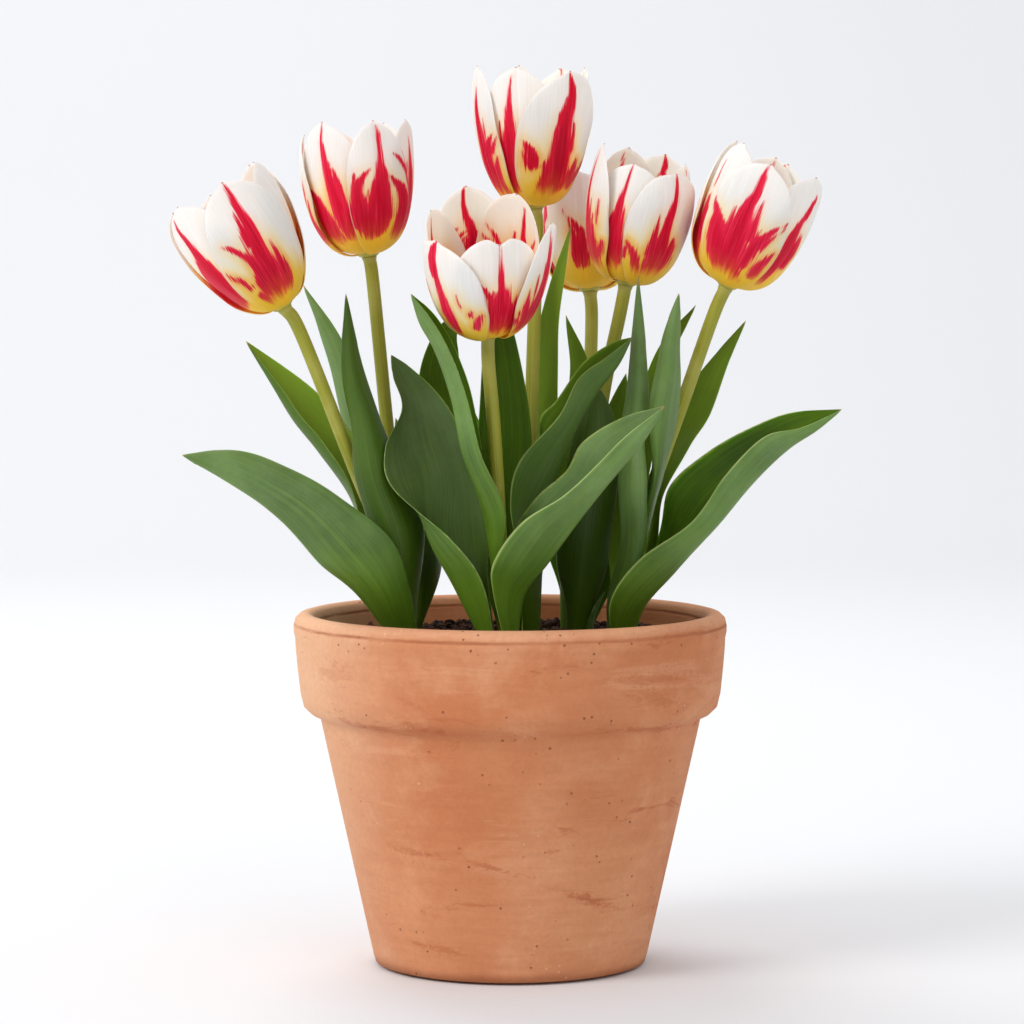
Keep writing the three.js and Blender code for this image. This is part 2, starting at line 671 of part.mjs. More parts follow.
function bloomGeometry(cup) {
  const { radius, height, sides } = RECEPTACLE;
  const receptacle = turnedAboutZ(
    [[0, 0], [STEM.radius, 0], [radius, height * 0.35], [radius, height], [0, height]],
    sides,
  );
  const petals = cup.petals.map((_, k) =>
    blade(petalSurface(cup, k), PETAL.columns, PETAL.rows, PETAL.thickness),
  );
  return joined([receptacle, ...petals]);
}

// The pistil with its three-lobed stigma, and six stamens round it, on one small disc.
function heartGeometry() {
  const foot = RECEPTACLE.height + GAP;
  const pistil = turnedAboutZ(
    [[0, foot], [4.2, foot], [4.2, foot + 1.4], [2.6, foot + 3], [2.9, 20], [4.2, 22.5], [0, 24]],
    5,
  );
  const stamens = [0, 1, 2, 3, 4, 5].map((k) => {
    const stamen = turnedAboutZ([[0, 0], [0.8, 0.1], [0.8, 10], [1.7, 12.5], [0, 20.5]], 3);
    stamen.rotateY(degrees(12)).translate(3, 0, foot + 0.4);
    return stamen.rotateZ(degrees(k * 60 + 30));
  });
  return joined([pistil, ...stamens]);
}

// ---------------------------------------------------------------- the whole

place("pot", potGeometry(), MATERIAL.clay);

const stems = PLANTS.map(stemCurve);
place("soil", geometryOf(soilSolid(stems)), MATERIAL.soil);

PLANTS.forEach((plant, k) => {
  const number = k + 1;
  place(`bulb_${number}`, bulbGeometry(0), MATERIAL.bulb).position.copy(bulbSeat(plant.seat));
  place(`stem_${number}`, rod(stems[k], STEM.radius, STEM.sides, STEM.steps), MATERIAL.stem);

  const lean = new THREE.Vector3(...plant.lean).normalize();
  const flower = new THREE.Group();
  flower.position.set(...plant.top).addScaledVector(lean, GAP);
  flower.quaternion.setFromUnitVectors(new THREE.Vector3(0, 0, 1), lean);
  tulips.add(flower);
  place(`bloom_${number}`, bloomGeometry(plant.bloom), MATERIAL.petal, flower);
  place(`heart_${number}`, heartGeometry(), MATERIAL.heart, flower);
});

LEAVES.forEach((leaf) => {
  const surface = leafSurface(leaf, stems[leaf.plant]);
  place(leaf.name, blade(surface, BLADE.columns, BLADE.rows, BLADE.thickness), MATERIAL.leaf);
});

export default tulips;
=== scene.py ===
# %% [markdown]
# # A clay pot of tulips
# Seven tulips stand in one clay pot. The frame gives every piece its place: the pot, the compost,
# seven bulbs, and for each bulb a stem, some leaves, and a bloom with a pistil and stamens in it.
# The frame's solids are coarse, so each one is replaced here by a finer piece of the same form.
# Everything is in metres, with +Z up and -Y as the front.

# %% Load the frame
import json
import math
import random

import bmesh
import bpy
import numpy as np
from mathutils import Matrix, Vector, noise

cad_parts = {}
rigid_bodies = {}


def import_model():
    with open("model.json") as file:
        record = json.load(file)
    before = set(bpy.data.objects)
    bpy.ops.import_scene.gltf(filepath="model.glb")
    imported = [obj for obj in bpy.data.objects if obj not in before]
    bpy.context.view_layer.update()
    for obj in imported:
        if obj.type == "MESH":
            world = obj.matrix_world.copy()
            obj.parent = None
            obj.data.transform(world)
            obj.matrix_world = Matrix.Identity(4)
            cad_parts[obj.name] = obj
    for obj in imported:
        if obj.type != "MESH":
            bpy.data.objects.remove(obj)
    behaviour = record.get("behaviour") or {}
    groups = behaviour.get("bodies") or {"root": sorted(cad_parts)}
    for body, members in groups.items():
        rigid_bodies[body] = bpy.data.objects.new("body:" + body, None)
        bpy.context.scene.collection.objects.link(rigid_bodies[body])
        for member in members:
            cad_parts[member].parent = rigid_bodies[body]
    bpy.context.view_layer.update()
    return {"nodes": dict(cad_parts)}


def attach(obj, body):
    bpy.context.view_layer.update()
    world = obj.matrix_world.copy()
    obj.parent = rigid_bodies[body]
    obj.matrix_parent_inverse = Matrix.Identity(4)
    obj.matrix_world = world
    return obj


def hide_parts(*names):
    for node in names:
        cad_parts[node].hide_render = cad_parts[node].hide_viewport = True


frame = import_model()
print("nodes in the frame:", len(frame["nodes"]))

MM = 0.001
UP = Vector((0, 0, 1))

# %% [markdown]
# ## How a finish is painted
# A finish starts from one shader and a few simple patterns: noise, spots and streaks. Its colour is
# laid in coats, each over the ones before, and each coat has a pattern that says how much of it is
# seen. These helpers keep the recipes short. A number that is the same all over goes straight onto
# the shader's socket.


# %% Helpers for finishes
def colour(hex_code):
    """A colour as the eye reads it on a screen, turned into light amounts."""
    shares = [int(hex_code[i:i + 2], 16) / 255 for i in (0, 2, 4)]
    return tuple(c / 12.92 if c <= 0.04045 else ((c + 0.055) / 1.055) ** 2.4 for c in shares) + (1,)


class Finish:
    """One material and the few kinds of node that the recipes use."""

    def __init__(self, name, **shader_values):
        self.material = bpy.data.materials.new(name)
        self.material.use_nodes = True
        self.tree = self.material.node_tree
        self.shader = self.tree.nodes["Principled BSDF"]
        self.tint = None
        for socket, value in shader_values.items():
            self.shader.inputs[socket.replace("_", " ")].default_value = value

    def node(self, kind, sockets, **settings):
        made = self.tree.nodes.new("ShaderNode" + kind)
        for key, value in settings.items():
            setattr(made, key, value)
        for key, value in sockets.items():
            if isinstance(value, bpy.types.NodeSocket):
                self.tree.links.new(value, made.inputs[key])
            else:
                made.inputs[key].default_value = value
        return made

    def math(self, operation, a, b=0.0):
        return self.node("Math", {0: a, 1: b}, operation=operation).outputs[0]

    def plus(self, a, b):
        return self.math("ADD", a, b)

    def minus(self, a, b):
        return self.math("SUBTRACT", a, b)

    def times(self, a, b):
        return self.math("MULTIPLY", a, b)

    def swing(self, pattern, size):
        """A noise pattern made to swing about zero."""
        return self.times(self.minus(pattern, 0.5), size)

    def band(self, value, low, high, to_low=0.0, to_high=1.0):
        """Goes smoothly from to_low to to_high while the value goes from low to high."""
        sockets = {"Value": value, "From Min": low, "From Max": high, "To Min": to_low, "To Max": to_high}
        return self.node("MapRange", sockets, interpolation_type="SMOOTHSTEP").outputs["Result"]

    def mix(self, share, a, b):
        """Goes from colour a to colour b. Each is a hex code, or what a node gives."""
        a, b = (colour(tint) if isinstance(tint, str) else tint for tint in (a, b))
        return self.node("Mix", {0: share, 6: a, 7: b}, data_type="RGBA").outputs[2]

    def coat(self, tint, share):
        """Lays one more colour over the others."""
        self.tint = self.mix(share, self.tint, tint)

    def objects(self, scale=(1, 1, 1), shift=(0, 0, 0)):
        """Places on the object, in metres, stretched by scale."""
        place = self.node("TexCoord", {}).outputs["Object"]
        return self.node("Mapping", {"Vector": place, "Scale": scale, "Location": shift}).outputs[0]

    def noise(self, vector, scale, detail=3.0, rough=0.5, twist=0.0):
        sockets = {"Vector": vector, "Scale": scale, "Detail": detail, "Roughness": rough,
                   "Distortion": twist}
        return self.node("TexNoise", sockets).outputs[0]

    def spots(self, vector, scale):
        """How far it is to the nearest of many scattered points."""
        return self.node("TexVoronoi", {"Vector": vector, "Scale": scale}).outputs[0]

    def attribute(self, name):
        return self.node("Attribute", {}, attribute_name=name).outputs["Fac"]

    def point(self, x, y, z=0.0):
        return self.node("CombineXYZ", {0: x, 1: y, 2: z}).outputs[0]

    def read_sheet(self):
        """Across (0 to 1) and along (0 to 1) on a leaf, petal or stem."""
        places = self.node("SeparateXYZ", {0: self.node("UVMap", {}, uv_map="sheet").outputs[0]})
        self.across, self.along = places.outputs[0], places.outputs[1]
        return self.across, self.along

    def streaks(self, across, along, own, detail, rough=0.5):
        """Noise drawn out along a sheet: how fine it is across and along."""
        place = self.point(self.times(self.across, across), self.times(self.along, along), own)
        return self.noise(place, 1, detail, rough)

    def paint(self, rough=None, height=None, depth=0.001, strength=1.0):
        """Joins the patterns to the shader: colour, roughness, and a height map for the relief."""
        self.tree.links.new(self.tint, self.shader.inputs["Base Color"])
        if rough is not None:
            self.tree.links.new(rough, self.shader.inputs["Roughness"])
        if height is not None:
            relief = self.node("Bump", {"Height": height, "Distance": depth, "Strength": strength})
            self.tree.links.new(relief.outputs[0], self.shader.inputs["Normal"])
        return self.material


def grained(name, low, high, scale, rough):
    """A plain finish: two colours in a fine grain."""
    soft = Finish(name, Roughness=rough)
    grain = soft.noise(soft.objects(), scale, 4, 0.6)
    soft.tint = soft.mix(soft.band(grain, 0.35, 0.7), low, high)
    return soft.paint(None, grain, 0.0003, 0.6)


print("finish helpers ready")


# %% Small tools for pieces
def new_piece(name, bm, finishes, slot=None, replaced=()):
    """Makes a bmesh an object of the scene, and ties it to the frame."""
    mesh = bpy.data.meshes.new(name)
    bm.to_mesh(mesh)
    bm.free()
    for face in mesh.polygons:
        face.use_smooth = True
    piece = bpy.data.objects.new(name, mesh)
    bpy.context.scene.collection.objects.link(piece)
    for finish in finishes:
        mesh.materials.append(finish)
    if slot:
        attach(piece, "root")
        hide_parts(*replaced)
    return piece


def spun(profile, steps):
    """Turns a line of (radius, height) points in millimetres about the Z axis."""
    bm = bmesh.new()
    points = [bm.verts.new((r * MM, 0, z * MM)) for r, z in profile]
    lines = [bm.edges.new(pair) for pair in zip(points, points[1:])]
    bmesh.ops.spin(bm, geom=points + lines, cent=(0, 0, 0), axis=(0, 0, 1), dvec=(0, 0, 0),
                   angle=2 * math.pi, steps=steps, use_merge=True)
    bmesh.ops.remove_doubles(bm, verts=bm.verts, dist=1e-6)
    bmesh.ops.recalc_face_normals(bm, faces=bm.faces)
    return bm


def set_finish(verts, index):
    """Gives the faces round these vertices one of the piece's finishes."""
    for face in {face for vert in verts for face in vert.link_faces}:
        face.material_index = index


print("piece tools ready")

# %% [markdown]
# ## The view, the floor and the light
# The camera stands 1.8 m in front, a little above the rim, and looks slightly down through a long
# lens. The floor is a pale sheet that curves up into a wall, as in a portrait studio, so that
# no horizon shows. A large lamp stands on the left, a weaker one in front, one behind and above,
# and one that lights the wall. The sky is white.

# %% Camera
LOOK_DOWN, SENSOR = 3.72, 36
camera = bpy.data.objects.new("camera", bpy.data.cameras.new("camera"))
bpy.context.scene.collection.objects.link(camera)
camera.location = (0.00078, -1.8, 0.326)
camera.rotation_euler = (math.radians(90 - LOOK_DOWN), 0, 0)
camera.data.sensor_width = SENSOR
camera.data.lens = 3915 / 1024 * SENSOR
bpy.context.scene.camera = camera
print("lens:", round(camera.data.lens, 1), "mm")

# %% Studio floor
FLOOR_HALF_WIDTH, FLOOR_FRONT, FLOOR_LENGTH, WALL_HEIGHT = 4, -3, 5.3, 3
BEND_RADIUS, BEND_ANGLE = 1.2, 1.45


def studio_floor():
    """A floor strip whose back edge is pulled up into a wall through a soft bend."""
    bm = bmesh.new()
    ends = [bm.verts.new((x, FLOOR_FRONT, 0)) for x in (-FLOOR_HALF_WIDTH, FLOOR_HALF_WIDTH)]
    edges = [bm.edges.new(ends)]
    turns = np.linspace(0, BEND_ANGLE, 16)
    ys, zs = BEND_RADIUS * np.sin(turns), -BEND_RADIUS * np.cos(turns)
    bend = [(0, y, z) for y, z in zip(np.diff(ys), np.diff(zs))]
    for move in [(0, FLOOR_LENGTH, 0), *bend, (0, 0, WALL_HEIGHT)]:
        grown = bmesh.ops.extrude_edge_only(bm, edges=edges)["geom"]
        bmesh.ops.translate(bm, vec=move, verts=[g for g in grown if isinstance(g, bmesh.types.BMVert)])
        edges = [g for g in grown if isinstance(g, bmesh.types.BMEdge)]
    bmesh.ops.recalc_face_normals(bm, faces=bm.faces)
    return bm


paper = Finish("studio_paper", Base_Color=(0.775, 0.781, 0.796, 1), Roughness=0.9).material
floor = new_piece("studio_floor", studio_floor(), [paper])
print("floor faces:", len(floor.data.polygons))


# %% Lamps and sky
def soft_lamp(name, place, aim, size, power, tint=(1, 1, 1)):
    lamp = bpy.data.lights.new(name, "AREA")
    lamp.shape = "DISK"
    lamp.size = size
    lamp.energy = power
    lamp.color = tint
    stand = bpy.data.objects.new(name, lamp)
    bpy.context.scene.collection.objects.link(stand)
    stand.location = place
    stand.rotation_euler = (Vector(aim) - Vector(place)).to_track_quat("-Z", "Y").to_euler()


soft_lamp("window_left", (-2.4, -1.7, 2.2), (0, 0, 0.25), 1.7, 57, (1.0, 0.985, 0.965))
soft_lamp("fill_front", (0.9, -2.1, 1.6), (0, 0, 0.3), 1.4, 7)
soft_lamp("top_back", (-0.4, 1.0, 1.9), (0, 0, 0.3), 1.2, 11)
soft_lamp("wall_wash", (-0.8, 1.6, 2.9), (-0.5, 3.6, 0.7), 2.0, 28)
sky = bpy.data.worlds.new("studio_sky")
sky.use_nodes = True
sky.node_tree.nodes["Background"].inputs["Color"].default_value = (0.97, 0.98, 1.0, 1)
sky.node_tree.nodes["Background"].inputs["Strength"].default_value = 0.71
bpy.context.scene.world = sky
bpy.context.scene.view_settings.view_transform = "Standard"
bpy.context.scene.view_settings.look = "None"

# %% [markdown]
# ## Clay pot
# The pot is thrown or pressed from red clay and fired without a glaze. Its wall tapers to the foot,
# and a thick band runs round the rim. It could be lathed from one outline, as here, because every
# cross-section is a circle. The sharp corners of the outline are rounded with a bevel afterwards,
# as the potter's sponge does, and the shape wavers inwards by a few tenths of a millimetre.

# %% Pot shape
POT_OUTLINE = [
    (9, 0), (57, 0), (62.5, 1.6), (63.6, 5), (88.2, 115.5), (92.5, 117), (95.6, 120), (97.1, 126),
    (98.4, 138), (99.2, 148), (99.3, 151.5), (99.9, 154), (100, 157), (99.2, 160.4), (97, 162.4),
    (94.6, 163), (92.6, 162.8), (90.6, 161.2), (89.9, 158), (55, 12.5), (50.5, 9), (9, 9), (9, 0),
]
# the width of the bevel on each sharp corner of the outline
ROUNDED = {(57, 0): 2.2, (88.2, 115.5): 1.6, (55, 12.5): 3.0, (50.5, 9): 2.0}
STEADY_FOOT = 0.02  # the waver grows from nothing over this height, so that the pot stands flat


def pot_shape():
    bm = spun(POT_OUTLINE, 144)
    for (radius, height), width in ROUNDED.items():
        ring = [e for e in bm.edges if all(
            abs(math.hypot(v.co.x, v.co.y) - radius * MM) < 2e-5 and abs(v.co.z - height * MM) < 2e-5
            for v in e.verts)]
        bmesh.ops.bevel(bm, geom=ring, offset=width * MM, offset_type="OFFSET", affect="EDGES",
                        segments=4, profile=0.5, material=-1)
    for vert in bm.verts:
        turn = math.atan2(vert.co.y, vert.co.x)
        sway = noise.noise(Vector((math.cos(turn), math.sin(turn), vert.co.z * 14)))
        lift = 0.3 * MM * (sway - 0.6) * min(1, max(0, vert.co.z / STEADY_FOOT))
        vert.co.x += lift * math.cos(turn)
        vert.co.y += lift * math.sin(turn)
    bmesh.ops.recalc_face_normals(bm, faces=bm.faces)
    return bm


print("points in the pot's outline:", len(POT_OUTLINE))

# %% [markdown]
# ### Fired clay
# The colour drifts between a pale and a deep orange. Fine lines run round the pot where it turned
# under the potter's hand, and one groove lies just under the lip, darkened by painted shade. There
# are small pits, each darkened by painted shade, and reddish stains where the pot was scraped and
# handled. The left side, where the lamp falls, is painted paler as light. There is wear on the rim,
# and the foot is darker.

# %% Fired clay finish
# place of each stain and its half width and half height in millimetres, its tilt, its strength
STAINS = [
    (-41, -62, 60, 15, 2, 0.13, 0.5), (-8, -73, 55, 16, 1.8, 0.25, 0.55),
    (34, -61, 39.5, 17, 2.8, 0.41, 0.6), (-30, -58, 16, 14, 2.4, 0.14, 0.45),
    (-15, -69, 38, 13, 1.3, 0.03, 0.4), (-79, -58, 141, 11, 6, 0, 0.22), (64, -69, 140, 26, 3.2, 0, 0.34),
    (63, -73, 131, 13, 5.5, 0.2, 0.34), (60, -58, 116.5, 28, 1.8, 0.08, 0.5),
    (-59, -68, 116.5, 14, 1.6, 0.1, 0.4), (-44, -87, 130, 7, 2.2, 0.3, 0.3),
    (45, 60, 70, 16, 2.6, 0.3, 0.5), (-50, 72, 138, 20, 4, -0.1, 0.35), (62, 20, 30, 14, 2.2, 0.2, 0.5),
]
LIP_LINE = 0.1579


def add_stains(clay, place):
    """Ragged reddish patches, each an ellipse whose edge a noise breaks up."""
    ragged = clay.swing(clay.noise(clay.objects(scale=(1, 1, 2.8)), 130, 8, 0.8, 0.9), 5.5)
    for x, y, z, wide, high, tilt, strength in STAINS:
        spot = clay.node("Mapping", {
            "Vector": place, "Location": (x * MM, y * MM, z * MM), "Rotation": (0, tilt, 0),
            "Scale": (wide * MM, 50 * MM, high * MM)}, vector_type="TEXTURE").outputs[0]
        away = clay.node("VectorMath", {0: spot}, operation="LENGTH").outputs["Value"]
        clay.coat("ab5730", clay.band(clay.plus(away, ragged), 1.1, 0.1, 0, strength))


def fired_clay():
    clay = Finish("fired_clay", Specular_IOR_Level=0.3)
    place = clay.objects()
    x, _, z = clay.node("SeparateXYZ", {0: place}).outputs
    cloud = clay.noise(place, 26, 5, 0.6, 0.4)
    clay.tint = clay.mix(clay.band(clay.noise(place, 9, 4, 0.55), 0.35, 0.65), "c67b50", "d69368")
    clay.coat("e2a880", clay.band(cloud, 0.45, 0.75, 0, 0.55))
    lines = clay.noise(clay.objects(scale=(1, 1, 9)), 30, 4, 0.6)
    clay.coat("a8603c", clay.band(lines, 0.3, 0.7, 0.16, 0.0))
    wander = clay.swing(cloud, 0.07)
    # painted light: the left side, where the lamp falls, is painted paler and less saturated
    clay.coat("f2c7a2", clay.band(clay.plus(x, wander), -0.035, -0.1, 0, 0.58))
    clay.coat("eab893", clay.band(clay.plus(z, clay.times(wander, 0.06)), 0.158, 0.1615, 0, 0.35))
    # darker towards the foot
    clay.coat("9c5a38", clay.band(clay.plus(z, clay.times(wander, 0.15)), 0.007, 0.001, 0, 0.55))
    scrape = clay.noise(clay.objects(scale=(1, 1, 3.4), shift=(0.3, 0.1, 0.2)), 16, 8, 0.68, 1.2)
    clay.coat("a9532d", clay.band(scrape, 0.60, 0.70, 0, 0.6))
    smear = clay.noise(clay.objects(scale=(1, 1, 5), shift=(0.1, 0.4, 0.7)), 13, 6, 0.7, 0.8)
    clay.coat("e2ab86", clay.band(smear, 0.58, 0.70, 0, 0.26))
    add_stains(clay, place)
    from_lip = clay.math("ABSOLUTE", clay.minus(clay.plus(z, clay.times(wander, 0.02)), LIP_LINE))
    groove_and_painted_shade = clay.times(clay.band(from_lip, 0.0011, 0.0002), clay.band(lines, 0.35, 0.6, 0.3, 0.8))
    # painted shade: the groove under the lip is darkened where shade falls in it
    clay.coat("a35c3a", groove_and_painted_shade)
    grain = clay.noise(place, 420, 4, 0.7)
    clay.coat("8f4f31", clay.band(grain, 0.3, 0.7, 0.12, 0.0))
    knock = clay.point(clay.times(grain, 0.0012), clay.times(cloud, 0.002))
    jagged = clay.node("VectorMath", {0: place, 1: knock}, operation="ADD").outputs[0]
    pit_and_painted_shade = clay.times(clay.band(clay.spots(jagged, 200), 0.07, 0.15, 1, 0),
                     clay.band(clay.noise(place, 60, 2), 0.53, 0.62))
    # painted shade: each pit is darkened where shade falls in it
    clay.coat("5c2e1a", clay.times(pit_and_painted_shade, 0.6))
    speck = clay.times(clay.band(clay.spots(jagged, 260), 0.1, 0.18, 1, 0),
                       clay.band(clay.noise(place, 45, 2), 0.62, 0.68))
    clay.coat("e9c3a4", clay.times(speck, 0.45))
    height = clay.plus(clay.times(grain, 0.25), clay.times(lines, 0.5))
    height = clay.minus(clay.minus(height, pit_and_painted_shade), clay.times(groove_and_painted_shade, 0.8))
    return clay.paint(clay.band(cloud, 0.2, 0.8, 0.74, 0.9), height, 0.0006, 0.7)


pot = new_piece("clay_pot", pot_shape(), [fired_clay()], "terracotta", ["pot"])
print("pot faces:", len(pot.data.polygons))

# %% [markdown]
# ## Compost
# The pot is filled nearly to the rim with dark, crumbly compost. A smooth mound alone would look
# like plastic, so the surface is pushed up and down by noise and strewn with many small crumbs.

# %% Compost body
COMPOST_RADIUS, EDGE, MOUND = 85.9, 149.6, 2.0


def compost_height(x, y):
    """Height of the surface in metres: a low mound with lumps."""
    share = min(1, math.hypot(x, y) / 0.0863)
    lumps = noise.fractal(Vector((x * 90, y * 90, 3.1)), 0.9, 2.1, 4)
    fine = noise.noise(Vector((x * 420, y * 420, 7.7)))
    return (EDGE + MOUND * (1 - share * share) + 1.6 * lumps + 0.6 * fine) * MM


def compost_body():
    rings = [(COMPOST_RADIUS * k / 44, 150.0) for k in range(44, -1, -1)]
    side = [(0.0, 9.4), (50.0, 9.4), (54.4, 13.4), (70.0, 80.0), (COMPOST_RADIUS, 146.0)]
    bm = spun(side + rings, 144)
    for vert in bm.verts:
        if vert.co.z > 0.149:
            vert.co.z = compost_height(vert.co.x, vert.co.y)
    return bm


print("compost in the middle of the pot:", round(compost_height(0, 0) / MM, 1), "mm")


# %% Crumbs
def ball_pattern(make, **parts):
    """The corners and faces of a small ball, which is set down hundreds of times."""
    ball = bmesh.new()
    make(ball, radius=1, **parts)
    ball.verts.index_update()
    corners = [vert.co.copy() for vert in ball.verts]
    faces = [[vert.index for vert in face.verts] for face in ball.faces]
    ball.free()
    return corners, faces


SMALL_BALL = ball_pattern(bmesh.ops.create_icosphere, subdivisions=1)
LARGE_BALL = ball_pattern(bmesh.ops.create_uvsphere, u_segments=7, v_segments=5)
STREWN_RADIUS, CRUMBS = 0.0845, 2300
draw = random.Random(11)


def add_crumb(bm, place, size):
    """One crumb: a small ball, squashed and knocked out of round. The size is in millimetres."""
    corners, faces = LARGE_BALL if size > 1.0 else SMALL_BALL
    squash = [draw.uniform(0.55, 1.25) for _ in range(3)]
    seed = draw.uniform(0, 100)
    turn = Matrix.Rotation(draw.uniform(0, 6.28), 3, Vector([draw.gauss(0, 1) for _ in range(3)]))
    verts = []
    for out in corners:
        bulge = 1 + 0.7 * noise.noise(out * 2.9 + Vector((seed, seed, seed)))
        away = Vector([c * s for c, s in zip(out, squash)]) * bulge * size * MM
        verts.append(bm.verts.new(place + turn @ away))
    for face in faces:
        bm.faces.new([verts[k] for k in face])


def strew_crumbs(bm, count):
    for _ in range(count):
        away = STREWN_RADIUS * math.sqrt(draw.random())
        turn = draw.uniform(0, 2 * math.pi)
        x, y = away * math.cos(turn), away * math.sin(turn)
        size = 0.6 + 1.9 * draw.random() ** 2.4
        lift = draw.uniform(-0.1, 0.8) * size * MM
        add_crumb(bm, Vector((x, y, compost_height(x, y) + lift)), size)


print("corners of a small and a large crumb:", len(SMALL_BALL[0]), len(LARGE_BALL[0]))

# %% [markdown]
# ### Compost finish
# Peat and composted bark: nearly black where it is moist, brown where it has dried, with a few
# pale fibres and mineral specks.


# %% Compost finish
def moist_compost():
    peat = Finish("moist_compost", Roughness=0.95, Specular_IOR_Level=0.2)
    place = peat.objects()
    patches = peat.noise(place, 120, 5, 0.65)
    peat.tint = peat.mix(peat.band(patches, 0.35, 0.7), "24160f", "5a3a2a")
    fibres = peat.noise(peat.objects(scale=(1, 0.3, 1)), 600, 3, 0.6)
    peat.coat("86593c", peat.band(fibres, 0.62, 0.72, 0, 0.6))
    specks = peat.band(peat.spots(place, 260), 0.10, 0.16, 1, 0)
    peat.coat("b9a184", peat.times(specks, peat.band(peat.noise(place, 90, 2), 0.62, 0.66)))
    return peat.paint(None, peat.plus(patches, peat.times(fibres, 0.5)), 0.0012, 0.9)


body = compost_body()
strew_crumbs(body, CRUMBS)
compost = new_piece("compost", body, [moist_compost()], "compost", ["soil"])
print("compost faces:", len(compost.data.polygons))

# %% [markdown]
# ## The seven plants
# Each row below is one plant: the place of its bulb in the ring, where its stem leaves the compost,
# two points on the way up, the top of the stem, and the way the bloom leans. Then come the cup's
# girth, height and mouth, how full it is near the root and at the belly, and for each petal the way
# it faces, how tall it is, how it flares and how wide it is. The numbers are the frame's own, in
# millimetres.


# %% Plants
def plant_row(seat, ground, rise, top, lean, cup, petals):
    """Names the numbers of a row."""
    bloom = dict(zip(("girth", "height", "mouth", "root", "belly"), cup), petals=petals)
    return {"seat": seat, "ground": ground, "rise": rise, "top": top, "lean": lean, "bloom": bloom}


PLANTS = [
    plant_row(3, (-46, -21), [(-55, -24, 190), (-72, -28, 234)], (-101.2, -42, 303.3), (-0.54, -0.107, 0.87),
              (23.9, 64.7, 26.1, 0.83, 1.41), [
                  (-72, 0.98, 2, 1.06), (-16, 0.96, 1.3, 0.96), (42, 0.95, 0.3, 1), (98, 0.9, -0.7, 1),
                  (145, 0.95, 0.1, 0.67), (230, 0.98, -0.4, 1.07)]),
    plant_row(2, (-47, 20), [(-52, 19, 200), (-57, 18, 246)], (-65.3, 15, 326.1), (-0.138, -0.03, 1),
              (23.4, 65.5, 25.2, 1.09, 1.31), [
                  (-66, 0.94, 3.3, 0.78), (-16, 0.91, 4.4, 0.97), (59, 0.92, 3.3, 0.68), (120, 0.92, -2, 1),
                  (179, 0.91, -2.7, 0.69), (231, 0.97, -2.9, 1.06)]),
    plant_row(4, (-3, -43), [(-4, -45, 190), (-7, -45, 245)], (-10.1, -46, 290.7), (-0.02, -0.388, 0.95),
              (26.2, 60.6, 27.6, 0.93, 1.15), [
                  (-143, 0.87, -0.6, 1.08), (-75, 0.95, 0.2, 1.07), (-22, 0.96, 4.1, 0.72),
                  (47, 1.01, -4, 1.06), (107, 1.01, 1.9, 0.89), (165, 0.95, 0.6, 1.01)]),
    plant_row(None, (8, 4), [(9, 6, 210), (10, 9, 265)], (11.4, 14, 348.2), (-0.056, -0.021, 1),
              (23.8, 65.5, 27.7, 0.93, 1.21), [
                  (-55, 0.94, 6, 1.14), (14, 0.96, 2.8, 0.82), (58, 0.98, 1.7, 1.07),
                  (99, 1.01, -1.9, 0.72), (204, 1.02, -2.7, 0.64), (257, 0.98, -1.6, 1.01)]),
    plant_row(1, (29, 38), [(34, 42, 195), (37, 47, 255)], (37.7, 55, 309.5), (-0.05, 0.16, 1),
              (22, 56, 20, 1.1, 1.2), [
                  (-100, 0.97, 1.5, 1), (-40, 1, -1.5, 1), (20, 1, 0.5, 1), (80, 0.96, -0.6, 1),
                  (140, 0.98, 1.2, 1), (200, 1.02, -1, 1)]),
    plant_row(0, (31, 12), [(35, 9, 205), (43, 4, 264)], (52.6, -4, 313.1), (0.185, -0.045, 0.98),
              (24, 65.7, 19.9, 0.94, 1.2), [
                  (-47, 0.83, 0.3, 1.12), (11, 0.89, 0.2, 1), (68, 0.94, 0.5, 0.99), (129, 0.93, -1, 1.06),
                  (194, 0.94, 2.8, 0.78), (245, 0.83, -0.6, 0.98)]),
    plant_row(5, (50, -18), [(60, -15, 205), (80, -15, 264)], (97.7, -20, 312.4), (0.396, -0.1, 0.92),
              (24.9, 62.8, 24.4, 1.1, 1.21), [
                  (-102, 0.96, 2.1, 0.95), (-36, 0.98, -0.8, 1.12), (77, 0.97, -0.2, 0.89),
                  (93, 0.97, -0.5, 0.92), (153, 0.99, 0, 0.71), (211, 1, 1.1, 1.05)]),
]
BULB_RING, BULB_TURN, BULB_FOOT, BULB_HEIGHT = 41, -10, 24, 44
GROUND, STEM_RADIUS, GAP = 150, 3.4, 0.35
print("plants:", len(PLANTS))


def bloom_place(plant):
    """Takes a shape that stands on the origin to the top of the plant's stem, leaning as it does."""
    lean = Vector(plant["lean"]).normalized()
    turn = UP.rotation_difference(lean).to_matrix().to_4x4()
    return Matrix.Translation((Vector(plant["top"]) + lean * GAP) * MM) @ turn


# %% Curves through points
def along_curve(points, share):
    """Places on the smooth curve through the points; share goes from 0 to 1 over its spans."""
    p = np.asarray(points, float)
    p = np.vstack([2 * p[0] - p[1], p, 2 * p[-1] - p[-2]])
    spans = len(points) - 1
    place = np.clip(np.asarray(share, float), 0, 1) * spans
    k = np.minimum(place.astype(int), spans - 1)
    w = (place - k)[:, None]
    a, b, c, d = p[k], p[k + 1], p[k + 2], p[k + 3]
    cubic = (3 * b - a - 3 * c + d) * w ** 3 + (2 * a - 5 * b + 4 * c - d) * w ** 2
    return 0.5 * (2 * b + (c - a) * w + cubic)


def compass(turn):
    return np.array([math.cos(math.radians(turn)), math.sin(math.radians(turn)), 0.0])


def unit(v):
    return v / np.linalg.norm(v, axis=-1, keepdims=True)


def ease(t):
    t = np.clip(t, 0, 1)
    return t * t * (3 - 2 * t)


def mix(a, b, t):
    return a + (b - a) * t


